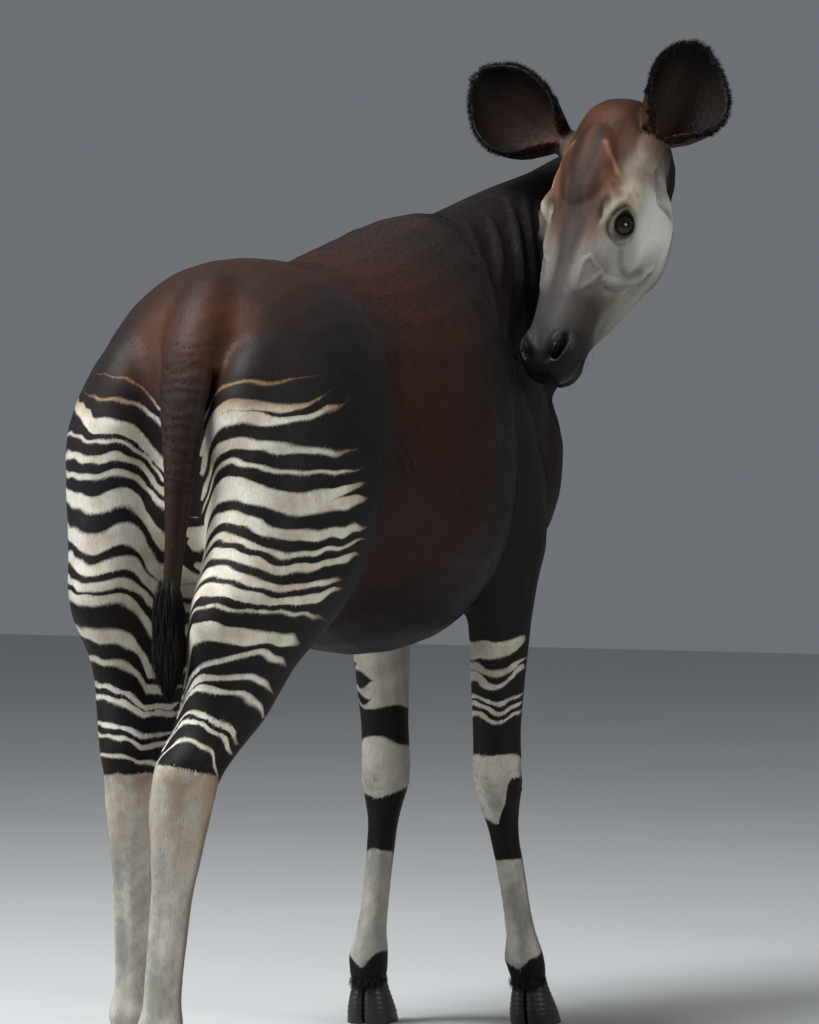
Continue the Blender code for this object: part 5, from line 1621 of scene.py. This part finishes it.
class OKAPI_OT_eyes(bpy.types.Operator):
    """Make the two dark eyes behind their lids"""
    bl_idname = "okapi.eyes"
    bl_label = "Eyes"

    def execute(self, context):
        finish = eye_material()
        for side, sign in (("left", 1.0), ("right", -1.0)):
            centre = from_head(np.array(EYE_PLACE) * (1.0, sign, 1.0))
            look = (EYE_LOOK * (1.0, sign, 1.0)) @ HEAD_AXES
            bm = bmesh.new()
            bmesh.ops.create_uvsphere(bm, u_segments=48, v_segments=32, radius=EYE_RADIUS - 0.0006)
            turn = Vector((0.0, 0.0, 1.0)).rotation_difference(Vector(look)).to_matrix()
            iris = []
            for vert in bm.verts:
                angle = vert.co.normalized().angle(Vector((0.0, 0.0, 1.0)))
                share = max(0.0, 1.0 - (angle / 0.62) ** 2)
                vert.co *= 1.0 + 0.035 * share
                iris.append(min(1.0, angle / 1.1))
                vert.co = turn @ vert.co + Vector(centre)
            mesh = as_mesh("eyeball_" + side, bm)
            write_attribute(mesh, "iris", "FLOAT", np.array(iris), "value")
            shade_smooth(mesh)
            mesh.materials.append(finish)
            made = new_object("eyeball_" + side, mesh)
            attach(made, "root")
            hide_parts("eye_" + side)
        return {"FINISHED"}


def foot_box(toe):
    """The box round both toes of a foot."""
    pair = [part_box(name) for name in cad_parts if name.startswith(toe.rsplit("_", 1)[0])]
    low = np.min([np.array(box[0]) for box in pair], axis=0)
    return low, np.max([np.array(box[1]) for box in pair], axis=0)


class OKAPI_OT_hooves(bpy.types.Operator):
    """Make the eight toes with their growth rings"""
    bl_idname = "okapi.hooves"
    bl_label = "Hooves"

    def execute(self, context):
        finish = hoof_material()
        for name in sorted(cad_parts):
            if not name.startswith("hoof_"):
                continue
            made = remeshed(name.replace("hoof_", "toe_"), flesh_copy((name,), 0.0, {name: 2}), HOOF_VOXEL)
            mesh = made.data
            points = corner_array(mesh)
            edges = edge_array(mesh)
            points = smoothed(points, edges, np.full(len(points), 5.0))
            move_corners(mesh, points)
            normals = normal_array(mesh)
            ring = 0.0005 * np.sin(points[:, 2] * 2.0 * np.pi / 0.009) * smooth_step(points[:, 2], 0.008, 0.02)
            points += normals * ring[:, None]
            low, high = foot_box(name)
            middle = (low + high) / 2.0
            tall = smooth_step(points[:, 2], 0.020, 0.085)[:, None]
            points[:, :2] = middle[:2] + (points[:, :2] - middle[:2]) * (1.0 - 0.13 * tall)
            points[:, 2] = np.maximum(points[:, 2], 0.0)
            move_corners(mesh, points)
            shade_smooth(mesh)
            mesh.materials.append(finish)
            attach(made, "root")
            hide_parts(name)
        return {"FINISHED"}


# ---- Stage -------------------------------------------------------------------------------------
def area_light(name, place, aim, size, power, colour):
    data = bpy.data.lights.new(name, "AREA")
    data.shape = "DISK"
    data.size = size
    data.energy = power
    data.color = colour
    lamp = bpy.data.objects.new(name, data)
    bpy.context.scene.collection.objects.link(lamp)
    lamp.location = place
    lamp.rotation_euler = (Vector(aim) - Vector(place)).to_track_quat("-Z", "Y").to_euler()


class OKAPI_OT_stage(bpy.types.Operator):
    """Set the pale floor, the soft lights and the camera"""
    bl_idname = "okapi.stage"
    bl_label = "Stage"

    def execute(self, context):
        bm = bmesh.new()
        bmesh.ops.create_grid(bm, x_segments=1, y_segments=1, size=12.0)
        mesh = as_mesh("floor", bm)
        sheet = Sheet("pale_floor", **{"Roughness": 0.85})
        cloud = sheet.noise(sheet.place(), 1.2, 3.0)
        sheet.surface(Base_Color=sheet.blend((0.50, 0.50, 0.49, 1.0), (0.56, 0.56, 0.55, 1.0), cloud))
        mesh.materials.append(sheet.material)
        new_object("floor", mesh)
        world = bpy.data.worlds.new("studio")
        world.use_nodes = True
        backdrop = world.node_tree.nodes["Background"]
        backdrop.inputs["Color"].default_value = (0.80, 0.86, 0.95, 1.0)
        backdrop.inputs["Strength"].default_value = 0.19
        context.scene.world = world
        middle = (0.1, 0.0, 0.9)
        area_light("sky_key", (1.2, 1.5, 4.6), middle, 2.2, 300.0, (0.93, 0.97, 1.0))
        area_light("rear_left", (5.5, 3.5, 2.8), middle, 2.0, 165.0, (0.95, 0.98, 1.0))
        area_light("front_right", (-5.5, 1.0, 2.4), middle, 2.0, 100.0, (1.0, 0.97, 0.93))
        turn = math.radians(VIEW_TURN)
        back = Vector((math.sin(turn), -math.cos(turn), 0.0))
        across = Vector((-math.cos(turn), -math.sin(turn), 0.0))
        yaw = math.atan((FRAME_MIDDLE[0] - LEVEL_POINT[0]) / FOCAL)
        pitch = math.atan((FRAME_MIDDLE[1] - LEVEL_POINT[1]) / FOCAL)
        level = back * math.cos(yaw) + across * math.sin(yaw)
        forward = level * math.cos(pitch) - Vector((0, 0, 1)) * math.sin(pitch)
        data = bpy.data.cameras.new("camera")
        data.sensor_fit = "AUTO"
        data.sensor_width = SENSOR
        data.lens = FOCAL / FRAME_TALL * SENSOR
        camera = bpy.data.objects.new("camera", data)
        context.scene.collection.objects.link(camera)
        camera.location = Vector(SHIFT) + Vector((0.0, 0.0, VIEW_HEIGHT)) - back * VIEW_AWAY
        camera.rotation_euler = forward.to_track_quat("-Z", "Y").to_euler()
        context.scene.camera = camera
        context.scene.view_settings.view_transform = "Standard"
        return {"FINISHED"}


class OKAPI_PT_panel(bpy.types.Panel):
    bl_idname = "OKAPI_PT_panel"
    bl_label = "Okapi"
    bl_space_type = "VIEW_3D"
    bl_region_type = "UI"
    bl_category = "Okapi"

    def draw(self, context):
        for group in (context.scene.okapi_skin, context.scene.okapi_coat, context.scene.okapi_colours):
            for name in group.bl_rna.properties.keys():
                if name not in {"rna_type", "name"}:
                    self.layout.prop(group, name)
        for operator in OPERATORS:
            self.layout.operator(operator.bl_idname)


SETTINGS = (OkapiSkinSettings, OkapiCoatSettings, OkapiColours)
OPERATORS = (OKAPI_OT_stage, OKAPI_OT_skin, OKAPI_OT_coat, OKAPI_OT_fringe, OKAPI_OT_tuft, OKAPI_OT_eyes,
             OKAPI_OT_hooves)


def register():
    for item in (*SETTINGS, *OPERATORS, OKAPI_PT_panel):
        bpy.utils.register_class(item)
    bpy.types.Scene.okapi_skin = bpy.props.PointerProperty(type=OkapiSkinSettings)
    bpy.types.Scene.okapi_coat = bpy.props.PointerProperty(type=OkapiCoatSettings)
    bpy.types.Scene.okapi_colours = bpy.props.PointerProperty(type=OkapiColours)


def unregister():
    del bpy.types.Scene.okapi_colours
    del bpy.types.Scene.okapi_coat
    del bpy.types.Scene.okapi_skin
    for item in (OKAPI_PT_panel, *reversed(OPERATORS), *reversed(SETTINGS)):
        bpy.utils.unregister_class(item)


def main():
    register()
    bpy.ops.okapi.stage()
    bpy.ops.okapi.skin()
    bpy.ops.okapi.eyes()
    bpy.ops.okapi.hooves()
    bpy.ops.okapi.coat()
    bpy.ops.okapi.fringe()
    bpy.ops.okapi.tuft()


if __name__ == "__main__":
    main()
